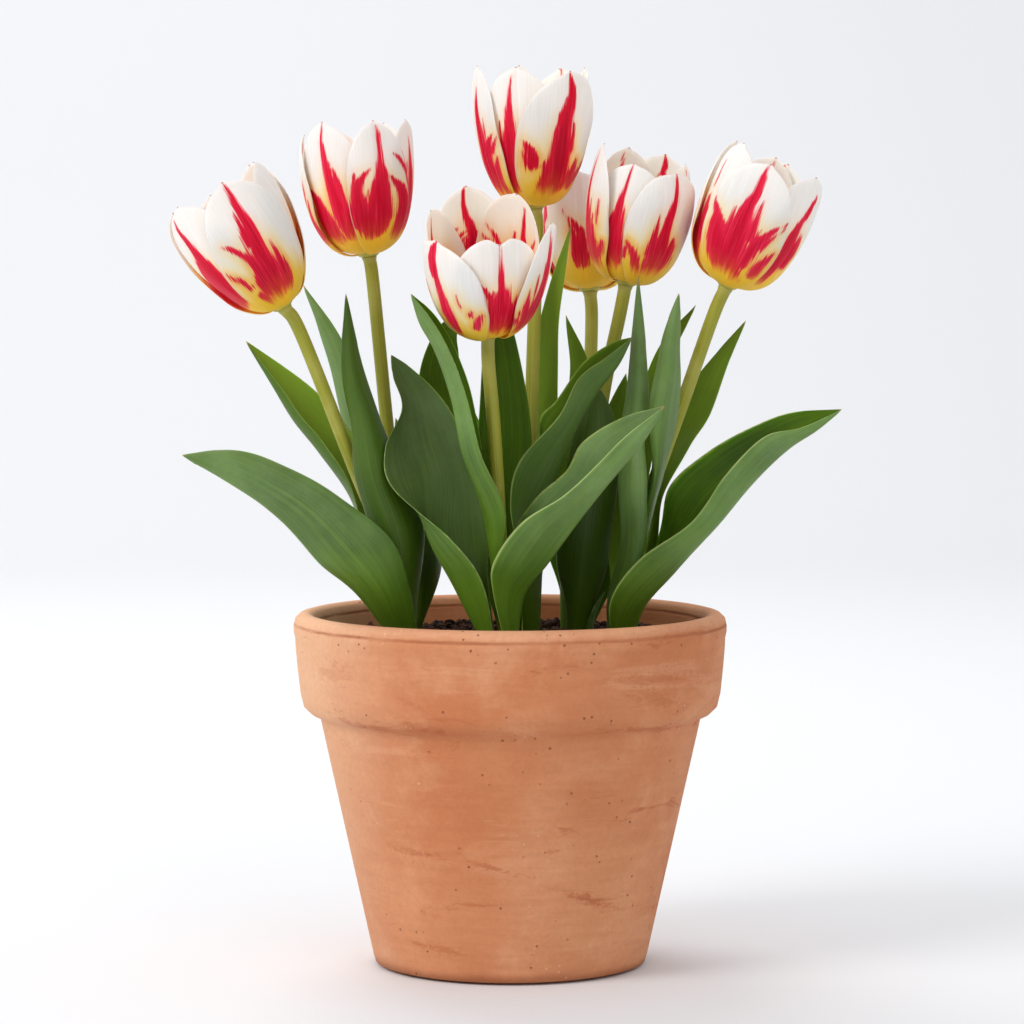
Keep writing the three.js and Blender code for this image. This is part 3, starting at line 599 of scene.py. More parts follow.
def square_to(surface, u, v, step):
    """The way that surface(u, v) faces, from small steps across and along it."""
    du = surface(np.clip(u + step, -1, 1), v) - surface(np.clip(u - step, -1, 1), v)
    dv = surface(u, np.clip(v + step, 0, 1)) - surface(u, np.clip(v - step, 0, 1))
    return unit(np.cross(du, dv) + 1e-12)


print("middle of a test curve:", along_curve([(0, 0, 0), (1, 1, 0), (2, 0, 0)], [0.5])[0])

# %% [markdown]
# ## Bulbs
# Nobody sees the bulbs, but each plant grows from one: a pointed drop with a flat base plate and a
# dry brown skin. One outline is turned about its axis, and the skin gets low lengthwise folds.


# %% Bulbs
def bulb_seat(seat):
    """Where a bulb's base stands. Six are in a ring, and the one without a number is in the middle."""
    foot = np.array([0, 0, BULB_FOOT], float)
    return foot if seat is None else compass(BULB_TURN + 30 + seat * 60) * BULB_RING + foot


def bulb_skin():
    skin = Finish("bulb_skin", Roughness=0.55)
    folds = skin.noise(skin.objects(scale=(1, 1, 0.25)), 260, 4, 0.6)
    skin.tint = skin.mix(skin.band(folds, 0.3, 0.7), "6b3f21", "a8703f")
    return skin.paint(None, folds, 0.0008, 0.8)


BULB_OUTLINE = [(0, 0), (6.6, 0), (10.8, 1.6), (14.2, 5.5), (15.7, 10), (16.4, 15), (16.3, 20),
                (15, 26), (12.4, 31.5), (9.3, 36), (6.6, 39.8), (5.0, 42.3), (4.2, 44), (0, 44)]
bulb_finish = bulb_skin()
for number, plant in enumerate(PLANTS, 1):
    bulb = spun(BULB_OUTLINE, 40)
    for vert in bulb.verts:
        turn = math.atan2(vert.co.y, vert.co.x)
        shrink = 1 - 0.02 * (1 + math.sin(9 * turn + number) * math.sin(4 * turn))
        vert.co.x *= shrink
        vert.co.y *= shrink
    bmesh.ops.translate(bulb, vec=Vector(bulb_seat(plant["seat"])) * MM, verts=bulb.verts)
    bmesh.ops.recalc_face_normals(bulb, faces=bulb.faces)
    new_piece(f"bulb_{number}_skin", bulb, [bulb_finish], "bulb_skin", [f"bulb_{number}"])
print("bulbs:", len(PLANTS))

# %% [markdown]
# ## Sheets, tubes and how they are laid
# Stems, leaves and petals all start as a flat grid. One side of the grid is wrapped round: a stem
# becomes a tube, and a leaf or petal becomes a very flat tube, so its edges are round and thin by
# themselves. Each grid keeps two numbers for its pattern: across and along.


# %% The wrapped grid
def wrapped_grid(bm, around, rows):
    """Adds a grid to a bmesh, and gives its vertices with their shares round the tube and along it."""
    verts = bmesh.ops.create_grid(bm, x_segments=around, y_segments=rows, size=1, calc_uvs=True)["verts"]
    flat = np.array([v.co[:2] for v in verts])
    return verts, (flat[:, 0] + 1) / 2, (flat[:, 1] + 1) / 2


def place_verts(verts, places):
    """Moves the vertices to places given in millimetres."""
    for vert, place in zip(verts, places * MM):
        vert.co = place


def new_sheet_mesh(*numbers):
    """A bmesh whose vertices carry the named numbers, and whose faces carry the sheet's pattern."""
    bm = bmesh.new()
    bm.loops.layers.uv.new("sheet")
    for name in numbers:
        bm.verts.layers.float.new(name)
    return bm


def write_numbers(bm, verts, **numbers):
    for name, values in numbers.items():
        layer = bm.verts.layers.float[name]
        for vert, value in zip(verts, np.broadcast_to(values, len(verts))):
            vert[layer] = value


def close_tubes(bm, apart=2e-6):
    """Welds the seams and closes the open ends."""
    bmesh.ops.remove_doubles(bm, verts=bm.verts, dist=apart)
    bmesh.ops.holes_fill(bm, edges=[e for e in bm.edges if e.is_boundary], sides=0)


def lay_sheet(bm, surface, around, rows, thickness, rows_near_tip=False, height=None):
    """A flat tube laid on surface(u, v), u from -1 to 1 across it and v from 0 to 1 along it.
    Faces with material 0 lie on the side that the surface's u x v looks to, the others behind."""
    verts, round_share, v = wrapped_grid(bm, around, rows)
    if rows_near_tip:
        v = np.sin(v * math.pi / 2) ** 1.15
    turn = round_share * 2 * math.pi
    evenly = 1 - np.abs((round_share * 4) % 4 - 2)
    u = 0.55 * evenly - 0.45 * np.cos(turn)
    thin = np.sqrt(np.clip(1 - np.abs(u) ** 3, 0, 1)) * np.sqrt(np.clip((1 - v) / 0.03, 0, 1))
    side = np.sign(np.sin(turn))
    side[np.isclose(np.abs(u), 1, atol=1e-6)] = 0
    off = side * thin * thickness / 2
    place_verts(verts, surface(u, v) + square_to(surface, u, v, 2e-3) * off[:, None])
    along = v if height is None else height(u, v)
    row = {vert: k for k, vert in enumerate(verts)}
    sheet = bm.loops.layers.uv["sheet"]
    for face in {f for vert in verts for f in vert.link_faces}:
        rows_of_face = [row[vert] for vert in face.verts]
        face.material_index = 0 if round_share[rows_of_face].mean() < 0.5 else 1
        for loop, k in zip(face.loops, rows_of_face):
            loop[sheet].uv = ((u[k] + 1) / 2, along[k])
    return verts, u, v


print("sheet tools ready")

# %% [markdown]
# ## Stems
# A tulip's stem is a smooth round bar, yellow-green, a little thinner near the bloom and paler where
# it swells under it. Fine streaks run along it.


# %% Stem shape
def stem_curve(plant):
    """From the top of the bulb, through the compost, to the foot of the bloom."""
    foot = bulb_seat(plant["seat"]) + np.array([0, 0, BULB_HEIGHT + GAP])
    top = np.array(plant["top"], float)
    lean = unit(np.array(plant["lean"], float))
    ground = [*plant["ground"], GROUND]
    return [foot, foot + [0, 0, 14], ground, *plant["rise"], top - 14 * lean, top + GAP * lean]


def stem_at(plant, height):
    line = along_curve(stem_curve(plant), np.linspace(0, 1, 4000))
    return np.array([np.interp(height, line[:, 2], line[:, k]) for k in range(3)])


def stem_shape(plant):
    bm = new_sheet_mesh()
    verts, round_share, v = wrapped_grid(bm, 24, 90)
    curve = stem_curve(plant)
    before, after = np.clip(v - 1e-3, 0, 1), np.clip(v + 1e-3, 0, 1)
    ahead = unit(along_curve(curve, after) - along_curve(curve, before))
    side = unit(np.cross(ahead, np.array([0.31, 0.95, 0.05])))
    other = np.cross(ahead, side)
    turn = round_share * 2 * math.pi
    radius = STEM_RADIUS * (0.95 - 0.06 * v + 0.14 * ease((v - 0.965) / 0.035))
    radius = radius * (1 + 0.02 * np.sin(3 * turn + 4 * v))
    ring = side * np.cos(turn)[:, None] + other * np.sin(turn)[:, None]
    place_verts(verts, along_curve(curve, v) + ring * radius[:, None])
    close_tubes(bm)
    bmesh.ops.recalc_face_normals(bm, faces=bm.faces)
    return bm


print("stem 1 leaves the compost at:", np.round(stem_at(PLANTS[0], GROUND), 1))


# %% Stem finish
def living_stem():
    stem = Finish("living_stem", Roughness=0.45, Specular_IOR_Level=0.3)
    along = stem.read_sheet()[1]
    streak = stem.streaks(30, 5, 0.0, 3)
    stem.tint = stem.mix(stem.band(streak, 0.3, 0.7), "8f9029", "a3a23a")
    stem.coat("66802a", stem.times(stem.band(along, 0.15, 0.75, 1, 0), 0.5))
    stem.coat("c0b768", stem.band(stem.noise(stem.objects(), 55, 3), 0.45, 0.7, 0, 0.35))
    stem.coat("c6be6e", stem.band(along, 0.9, 1.0, 0, 0.45))
    return stem.paint(None, streak, 0.0002, 0.3)


stem_finish = living_stem()
for number, plant in enumerate(PLANTS, 1):
    new_piece(f"stem_{number}_living", stem_shape(plant), [stem_finish], "stem", [f"stem_{number}"])
print("stems:", len(PLANTS))

# %% [markdown]
# ## Leaves
# A tulip leaf clasps its stem at the foot, widens, and narrows to a point, and its edges run in slow
# waves. Each row gives the plant, the side and height where the leaf leaves the stem, how far it
# nests outside the stem, and the points along its middle. A leaf that curls has points for its left
# and right edge too. The others have a width, the way the inner face looks in the middle and at the
# tip, the depth of their channel in degrees, and a wave: how deep, how many, and where it starts.
# The tone says how much fresher the leaf is than the others, with less wax and a painted light green,
# and how much painted shade darkens its outer and inner side. A waxed leaf has the wax of the outer
# side on its inner side too.

# %% Leaves of the frame
CLASP = 60  # how far round the stem each half of a leaf's foot reaches, in degrees
EVERY_ROW = ("name", "plant", "side", "base", "nest", "rib")


def curls(*row, tone=(0, 0, 0), waxed=False):
    """Names the numbers of a leaf that curls."""
    return dict(zip((*EVERY_ROW, "left", "right"), row), tone=tone, waxed=waxed)


def opens(*row, tone=(0, 0, 0), waxed=False, clasp=CLASP, blunt=2.3):
    """Names the numbers of a leaf that is a plain channel."""
    leaf = dict(zip((*EVERY_ROW, "width", "face", "cup", "wave"), row), tone=tone, waxed=waxed)
    return {**leaf, "clasp": clasp, "blunt": blunt}


LEAVES = [
    curls("left_arching", 0, -115, 147, 1.4,
          [(-57, -44, 174), (-71, -52, 194), (-89, -60, 214), (-110, -67, 228), (-129, -71, 236),
           (-145, -73, 239)],
          [(-45, -38, 175), (-53, -46, 199), (-76, -52, 219), (-100, -58, 233), (-122, -66, 241)],
          [(-69, -34, 173), (-86, -46, 189), (-103, -56, 209), (-120, -64, 223), (-135, -69, 232)]),
    curls("left_raised", 0, 150, 150, 0,
          [(-61, -13, 185), (-71, -13, 215), (-86, -11, 237), (-98, -9, 252), (-108, -8, 268),
           (-121, -8, 288)],
          [(-63, -27, 189), (-72, -26, 221), (-84, -23, 241), (-96, -19, 255), (-107, -14, 270)],
          [(-54, -5, 187), (-62, -4, 224), (-74, -2, 247), (-85, -1, 260), (-97, -2, 271)],
          tone=(1.6, 0, 0.05)),
    curls("left_tall", 0, -15, 154, 0,
          [(-48, -33, 173), (-50, -40, 201), (-59, -44, 228), (-64, -42, 251), (-71, -40, 275),
           (-74, -36, 310)],
          [(-42, -22, 173), (-39, -28, 203), (-48, -30, 226), (-57, -32, 250), (-66, -33, 275)],
          [(-57, -29, 174), (-63, -36, 201), (-70, -38, 228), (-72, -37, 251), (-76, -36, 275)],
          tone=(1, 0.25, 0.1)),
    opens("rear_left_narrow", 1, 175, 146, 1.9,
          [(-63, 31, 195), (-72, 36, 243), (-82, 38, 280), (-97, 38, 313)],
          22, [(0.5, 0.8, 0.2), (0.4, 0.85, 0.3)], 38, (0.8, 1.1, 0.5)),
    opens("rear_left_sheath", 1, -55, 150, 0,
          [(-37, 11, 178), (-38, 8, 205), (-46, 7, 232), (-53, 8, 252)],
          28, [(-0.75, 0.6, 0.1), (-0.7, 0.6, 0.2)], 50, (1, 1.2, 0.8)),
    opens("rear_left_back", 1, 60, 154, 1.8,
          [(-43, 38, 186), (-42, 52, 210), (-44, 67, 226), (-47, 82, 232)],
          30, [(0, -0.5, 0.85), (0, -0.25, 0.95)], 34, (1.6, 1.3, 0.2), tone=(0.3, 0.25, 0.25)),
    curls("front_left_broad", 2, 180, 146, 1.4,
          [(-25, -46, 178), (-36, -42, 201), (-38, -33, 225), (-43, -27, 243), (-45, -23, 261),
           (-50, -22, 273), (-54, -24, 282)],
          [(-12, -58, 180), (-26, -59, 200), (-53, -50, 223), (-56, -42, 240), (-49, -34, 258),
           (-53, -27, 272)],
          [(-10, -37, 183), (-9, -29, 203), (-15, -23, 223), (-23, -19, 248), (-32, -18, 263),
           (-44, -20, 275)],
          tone=(0, 0, 0.4), waxed=True),
    curls("front_left_tall", 2, 185, 183, 0,
          [(-11, -54, 210), (-21, -58, 238), (-26, -60, 263), (-33, -61, 284), (-40, -62, 297),
           (-44, -63, 310)],
          [(-2, -61, 212), (-13, -66, 239), (-19, -68, 264), (-27, -68, 285), (-35, -66, 299)],
          [(-10.5, -41, 214), (-13.5, -44.5, 244), (-17, -48, 264), (-24, -52, 284), (-33, -57, 300)],
          tone=(0, 0, 0.3)),
    opens("front_rear_upright", 2, 70, 158, 0,
          [(-8, -13, 196), (-3, -13, 245), (-5, -12, 285), (-8, -11, 318)],
          29, [(0.1, -1, 0.1), (0.1, -0.95, 0.3)], 32, (1, 1.2, 0.3), tone=(0.2, 0.55, 0.55)),
    curls("front_right_waved", 2, -10, 148, 1.4,
          [(5, -51, 173), (17, -56, 190), (29, -62, 207), (40, -68, 222), (50, -73, 235), (59, -77, 246),
           (68, -80, 261)],
          [(4, -42, 183), (0, -45, 200), (11, -48, 218), (25, -55, 231), (32, -61, 244), (49, -69, 255)],
          [(-8, -58, 178), (-7, -66, 192), (5, -72, 209), (22, -77, 220), (37, -80, 234), (51, -82, 248)],
          tone=(0, 0, 0.22), waxed=True),
    opens("middle_rear_left", 3, 150, 150, 0,
          [(-4, 15, 190), (-20, 22, 228), (-32, 26, 262), (-31, 28, 285), (-24, 30, 302)],
          30, [(0.3, -0.9, 0.3), (-0.1, -0.95, 0.3)], 30, (1.2, 1.1, 0.5), tone=(0.3, 0.2, 0.2)),
    opens("middle_tall", 3, 45, 156, 0,
          [(14, 15, 205), (14.5, 18, 250), (18.5, 18, 295), (28, 14, 341)],
          18, [(-0.1, -0.98, 0.1), (-0.35, -0.92, 0.1)], 36, (0.8, 1.3, 0.2), tone=(1.2, 0, 0.14)),
    curls("middle_right_curved", 3, -50, 148, 1.4,
          [(10, -13, 183), (14, -20, 210), (23, -25, 232), (31, -28, 251), (40, -30, 266), (49, -31, 278),
           (55, -30, 290)],
          [(15, -1, 187), (16, -5, 219), (13, -10, 250), (21, -16, 261), (33, -21, 278), (45, -26, 287)],
          [(4, -25, 187), (0, -30, 214), (4, -34, 234), (22, -37, 255), (31, -37, 272), (43, -35, 281)],
          tone=(0.5, 0.25, 0.38)),
    opens("rear_middle", 4, -160, 148, 0.3,
          [(24, 31, 195), (30, 33, 235), (33, 31, 268), (26, 28, 299)],
          22, [(0.2, -0.95, 0.1), (0.2, -0.95, 0.2)], 32, (0.8, 1.2, 0.1), tone=(0.8, 0, 0)),
    opens("rear_back", 4, 85, 152, 1.4,
          [(31, 54, 182), (33, 66, 206), (36, 80, 222), (39, 93, 227)],
          32, [(0.05, -0.6, 0.8), (0.05, -0.3, 0.95)], 34, (1.8, 1.3, 0.6)),
    opens("right_boat", 5, -105, 147, 1.4,
          [(32, -1, 175), (35, -7, 205), (39, -9, 238), (40, -4, 267)],
          25.5, [(-0.05, 1, 0.05), (-0.05, 0.9, -0.3)], 50, (0.8, 1, 0.2), tone=(1, 0.33, 0.33), blunt=8),
    opens("right_shoot", 5, -40, 146, 2.8,
          [(39, 5, 160), (43.5, 3, 172)],
          9, [(-0.9, 0.3, 0.2), (-0.9, 0.3, 0.2)], 45, (0, 1, 0), clasp=28),
    opens("right_rear_upright", 5, 95, 154, 0,
          [(37, 23, 195), (45, 25, 228), (50, 26, 252), (54, 27, 272)],
          21, [(-0.1, -1, 0.1), (-0.1, -0.95, 0.2)], 34, (0.8, 1.2, 0.4), tone=(0.5, 0.15, 0.2)),
    opens("right_back", 5, 50, 152, 1.4,
          [(47, 21, 180), (56, 34, 203), (64, 47, 218), (72, 61, 224)],
          28, [(-0.4, -0.45, 0.8), (-0.2, -0.25, 0.95)], 34, (1.6, 1.3, 0.9)),
    curls("far_right_upright", 6, -150, 147, 0,
          [(48, -30, 170), (55, -35, 195), (55, -35, 222), (56, -28, 246), (58, -24, 271), (58, -22, 318)],
          [(53, -32, 172), (61, -36, 196), (62, -36, 222), (61, -27, 245), (63, -21, 271)],
          [(44, -22, 170), (50, -22, 195), (49, -20, 222), (50, -18, 245), (53, -16, 269)]),
    curls("far_right_pointed", 6, -60, 178, 0,
          [(62, -27, 207), (67, -31, 230), (68, -36, 253), (71, -38, 273), (73, -36, 293), (76, -33, 310)],
          [(65, -17, 209), (71, -19, 231), (76, -24, 253), (77, -28, 273), (77, -30, 293)],
          [(57, -22, 207), (64, -26, 230), (62.5, -31, 253), (65, -33, 273), (69, -33, 292)]),
    opens("far_right_behind", 6, 128, 152, 1.4,
          [(52, 9, 190), (60, 16, 235), (71, 18, 278), (86, 18, 304)],
          17, [(-0.4, -0.9, 0.2), (-0.4, -0.85, 0.3)], 34, (0.6, 1.2, 0.2), tone=(0.8, 0.1, 0.1)),
    curls("far_right_raised", 6, 57, 150, 0,
          [(63, -8, 190), (69, -2, 223), (78, 4, 242), (87, 8, 259), (95, 10, 275), (109, 12, 297)],
          [(60, 3, 194), (67, 7, 229), (75, 11, 248), (81, 12, 263), (91, 13, 277)],
          [(66, -18, 188), (70, -13, 217), (82, -8, 239), (92, -3, 254), (98, 4, 271)],
          tone=(0.7, 0, 0.15)),
    curls("far_right_arching", 6, -47, 147, 1.4,
          [(59, -31, 166), (75, -37, 185), (92, -42, 206), (109, -45, 226), (124, -46, 240),
           (137, -45, 249), (149, -42, 258)],
          [(61, -27, 178), (68, -24, 202), (72, -27, 222), (88, -28, 237), (108, -31, 249), (126, -36, 256)],
          [(45, -42, 171), (58, -49, 191), (81, -54, 208), (96, -56, 229), (113, -54, 246), (130, -50, 250)],
          tone=(0.1, 0, 0.42)),
]
print("leaves:", len(LEAVES))


# %% Leaf surfaces
def leaf_outline(v, blunt):
    body = np.clip(1 - np.abs(v) ** blunt, 0, 1) ** 0.92
    return np.maximum(0.012, body) * mix(0.55, 1.12, ease(v / 0.42))


def curled_leaf(leaf, foot, axis, reach):
    """The cross-section is the bow through the left edge, the middle and the right edge."""
    def edge(points, side):
        start = axis + compass(leaf["side"] + side * CLASP) * reach
        return [start, *points, leaf["rib"][-1]]

    def surface(u, v):
        left = along_curve(edge(leaf["left"], 1), v)
        right = along_curve(edge(leaf["right"], -1), v)
        middle = along_curve([foot, *leaf["rib"]], v)
        half = (right - left) / 2
        half = half + unit(right - left + 1e-9) * (0.2 * v * (v > 0.9) * (v < 0.995))[:, None]
        sag = (left + right) / 2 - middle
        return middle + half * u[:, None] + sag * (u ** 2)[:, None]
    return surface


def channel_leaf(leaf, foot, reach):
    """The cross-section is part of a circle, wide open above and clasping the stem below."""
    faces = [-compass(leaf["side"]), *(unit(np.array(f, float)) for f in leaf["face"])]
    depth, turns, phase = leaf["wave"]
    clasp = math.radians(leaf["clasp"])
    curve = [foot, *leaf["rib"]]

    def surface(u, v):
        ahead = unit(along_curve(curve, v + 1e-4) - along_curve(curve, v - 1e-4))
        first = mix(faces[0], faces[1], ease(v / 0.45)[:, None])
        second = mix(faces[1], faces[2], ease((v - 0.45) / 0.55)[:, None])
        towards = np.where((v < 0.45)[:, None], first, second)
        inner = unit(towards - ahead * np.sum(towards * ahead, axis=1, keepdims=True))
        across = np.cross(ahead, inner)
        opened = ease(v / 0.3)
        half = mix(reach * clasp, leaf["width"] / 2 * leaf_outline(v, leaf["blunt"]), opened)
        bend = mix(clasp, math.radians(leaf["cup"]), opened)
        radius = half / bend
        wave = depth * opened * ease((1 - v) / 0.2) * u ** 2
        wave = wave * np.sin(2 * math.pi * turns * v + phase + 0.9 * (u < 0))
        sideways = across * (radius * np.sin(u * bend))[:, None]
        inwards = inner * (radius * (1 - np.cos(u * bend)) + wave)[:, None]
        return along_curve(curve, v) + sideways + inwards
    return surface


def leaf_surface(leaf):
    reach = STEM_RADIUS + GAP + 0.55 + leaf["nest"]
    axis = stem_at(PLANTS[leaf["plant"]], leaf["base"])
    foot = axis + compass(leaf["side"]) * reach
    return curled_leaf(leaf, foot, axis, reach) if "left" in leaf else channel_leaf(leaf, foot, reach)


print("leaves that curl:", sum("left" in leaf for leaf in LEAVES))

# %% [markdown]
# ### Leaf finish
# The outer side of a tulip leaf has a fine wax on it that makes it bluish grey. The inner side is
# a deeper, fresher green. Many fine veins run side by side along both, the edge is a thin
# yellow-green line, and the tip is a little dry. The veins follow the leaf, so the pattern reads the
# two numbers of the sheet, not the place in space.


# %% Leaf finish
def leaf_side(name, deep, green, pale, painted_light_green, wax, shine, rough):
    leaf = Finish(name, Specular_IOR_Level=shine, Subsurface_Weight=0.3,
                  Subsurface_Radius=(0.5, 1.0, 0.1), Subsurface_Scale=0.0012)
    across, along = leaf.read_sheet()
    own, fresh, place = leaf.attribute("own"), leaf.attribute("fresh"), leaf.objects()
    veins = leaf.streaks(46, 2.2, own, 2)
    fine = leaf.streaks(120, 3, own, 2)
    broad = leaf.streaks(10, 1.5, own, 3, 0.55)
    waxy = leaf.noise(place, 45, 5, 0.65)
    leaf.tint = leaf.mix(leaf.band(leaf.noise(place, 22, 4, 0.55), 0.35, 0.62), deep, green)
    # painted sheen and shade: broad light and dark streaks stand in for the leaf's curves catching the light
    leaf.coat(deep, leaf.band(broad, 0.52, 0.32, 0, 0.5))
    leaf.coat(pale, leaf.band(broad, 0.5, 0.7, 0, 0.3))
    leaf.coat(pale, leaf.band(veins, 0.38, 0.66, 0, 0.22))
    leaf.coat(pale, leaf.band(fine, 0.45, 0.7, 0, 0.18))
    glaucous = leaf.times(leaf.band(waxy, 0.3, 0.75, wax * 0.45, wax), leaf.band(along, 0.12, 0.6))
    leaf.coat("8ba66f", leaf.times(glaucous, leaf.band(fresh, 0.0, 1.0, 1.0, 0.1)))
    # painted light: the green of a leaf where light falls on it, laid over the fresher leaves
    leaf.coat(painted_light_green, leaf.times(fresh, 0.6))
    from_middle = leaf.math("ABSOLUTE", leaf.minus(across, 0.5))
    leaf.coat(pale, leaf.times(leaf.band(from_middle, 0.0, 0.035, 0.2, 0), leaf.band(along, 0.8, 0.2)))
    leaf.coat("5f7f14", leaf.band(along, 0.04, 0.4, 0.6, 0))
    edge = leaf.times(leaf.band(from_middle, 0.485, 0.496), leaf.band(waxy, 0.2, 0.6, 0.3, 0.7))
    leaf.coat("afc072", edge)
    leaf.coat("b08d5c", leaf.times(leaf.band(along, 0.975, 0.998), 0.8))
    # painted shade: each leaf's own darkening, for the shade it stands in
    leaf.coat("000000", leaf.attribute("dim"))
    height = leaf.plus(veins, leaf.times(fine, 0.4))
    return leaf.paint(leaf.band(waxy, 0.3, 0.7, rough - 0.06, rough + 0.1), height, 0.0004, 0.4)


leaf_inner = leaf_side("leaf_inner_side", "2f5104", "4a7206", "709812", "8aa839", 0.05, 0.05, 0.5)
leaf_outer = leaf_side("leaf_outer_side", "355512", "50751c", "7a9c38", "4a6808", 0.55, 0.28, 0.44)
print("leaf finishes:", leaf_inner.name, leaf_outer.name)


# %% Lay the leaves
def with_flutter(shape, seed):
    """The leaf's surface with a fine, uneven flutter along its edges."""
    def surface(u, v):
        flow = np.sin(v * 17 + seed) * 0.5 + np.sin(v * 31 + 2.3 * seed + 1.7 * (u > 0)) * 0.3
        lift = flow * np.abs(u) ** 3 * ease((v - 0.2) / 0.2) * ease((1 - v) / 0.15) * 0.5
        return shape(u, v) + square_to(shape, u, v, 1e-2) * lift[:, None]
    return surface


for number, leaf in enumerate(LEAVES):
    seed = 1.3 * number
    blade = new_sheet_mesh("own", "fresh", "dim")
    verts, _, _ = lay_sheet(blade, with_flutter(leaf_surface(leaf), seed), 56, 80, 0.75)
    fresh, dim, dim_inside = leaf["tone"]
    outside = np.array([any(face.material_index for face in vert.link_faces) for vert in verts])
    write_numbers(blade, verts, own=seed, fresh=fresh, dim=np.where(outside, dim, dim_inside))
    close_tubes(blade, 1e-5)
    finishes = [leaf_outer if leaf["waxed"] else leaf_inner, leaf_outer]
    new_piece(f"leaf_{leaf['name']}_living", blade, finishes, "leaf", [f"leaf_{leaf['name']}"])
print("leaves laid:", len(LEAVES))

# %% [markdown]
# ## Blooms
# A bloom is six broad petals in two rings of three, the outer ring over the inner one, all rooted in
# a small knob at the top of the stem. Each petal's middle is a curve in a plane through the axis of
# the cup, and its width wraps round the axis. The top is round with a slight point.

# %% Petal surfaces
PETAL_FOOT, PETAL_OVERLAP, PETAL_WIDEST = 4.6, 2.7, 0.6
PETAL_WIDTH, INNER_WIDTH = 0.88, 0.82
NOTCHED = {(3, 1): 0.06}


def bezier(a, b, c, d, t):
    return a * (1 - t) ** 3 + 3 * b * t * (1 - t) ** 2 + 3 * c * t * t * (1 - t) + d * t ** 3


def petal_outline(v):
    return mix(0.1, 1, np.sin(np.minimum(1, v / PETAL_WIDEST) * math.pi / 2) ** 1.1)


def petal_top(u, notch, lean):
    """How high the petal reaches: round shoulders with a small point, or with a notch."""
    point = 0.017 * np.exp(-(u / 0.1) ** 2) if notch == 0 else -notch * np.exp(-(u / 0.16) ** 2)
    shoulder = mix(PETAL_WIDEST, 0.985, np.sqrt(1 - 0.98 * u * u)) - 0.02 * np.abs(u)
    return shoulder + point + lean * u * (1 - u * u)


def petal_surface(number, k):
    """Petal k of one bloom, its own measure of height in terms of u and t, and its half width."""
    plant = PLANTS[number - 1]
    cup = plant["bloom"]
    girth, outer = cup["girth"], k % 2 == 0
    facing, tall, flare, wide = cup["petals"][k]
    inset = 0 if outer else PETAL_OVERLAP
    half_width = wide * girth * (PETAL_WIDTH if outer else INNER_WIDTH)
    seed = 5.1 * number + 1.7 * k
    notch = NOTCHED.get((number, k), 0)
    lean = Vector(plant["lean"]).normalized()
    turn = np.array(UP.rotation_difference(lean).to_matrix())
    origin = np.array(plant["top"], float) + np.array(lean) * GAP

    def height(u, t):
        return t * petal_top(u, notch, 0.03 * math.sin(seed))

    def surface(u, t):
        v = height(u, t)
        radius = bezier(PETAL_FOOT, cup["root"] * girth, cup["belly"] * girth, cup["mouth"] + flare, v)
        crease = 0.5 * np.exp(-(u / 0.07) ** 2) * ease(v / 0.3)
        flutter = np.sin(9 * v + seed) + 0.6 * np.sin(21 * v + 2 * seed + 2 * (u > 0))
        flutter = 0.4 * np.abs(u) ** 3 * flutter * ease(v / 0.3)
        wave = 0.25 * np.sin(5 * u + seed) * ease(v / 0.5)
        radius = radius - inset * mix(0.4, 1, ease(v / 0.6)) - crease + flutter + wave
        z = bezier(1.4, -0.6 + inset * 0.3, 0.62 * cup["height"], cup["height"] * tall, v) + inset * 0.25
        angle = math.radians(facing) + u * half_width * petal_outline(v) / radius
        local = np.stack([radius * np.cos(angle), radius * np.sin(angle), z], axis=1)
        return local @ turn.T + origin
    return surface, height, half_width


print("half widths in bloom 1:", [round(petal_surface(1, k)[2], 1) for k in range(6)])

# %% [markdown]
# ### Flames
# The crimson flame is drawn as strokes, as with a brush: a spike up the middle, tongues that leave
# it sideways, and loose streaks beside it. Each point of a stroke gives its place across the petal
# in hundredths of the half width, its place up the petal in hundredths, and the stroke's half width
# in tenths of a millimetre. Each vertex then keeps how far inside the strokes it lies, and the
# finish feathers the edge of that. The petals that turn away from the front get strokes drawn from
# a seed, and a coarser grid. Some petals show only a part of themselves to the front: their drawn
# strokes are joined to seeded ones. Two petals show the front their inner face alone, so the drawn
# strokes are on that face, and the outer face has seeded ones.

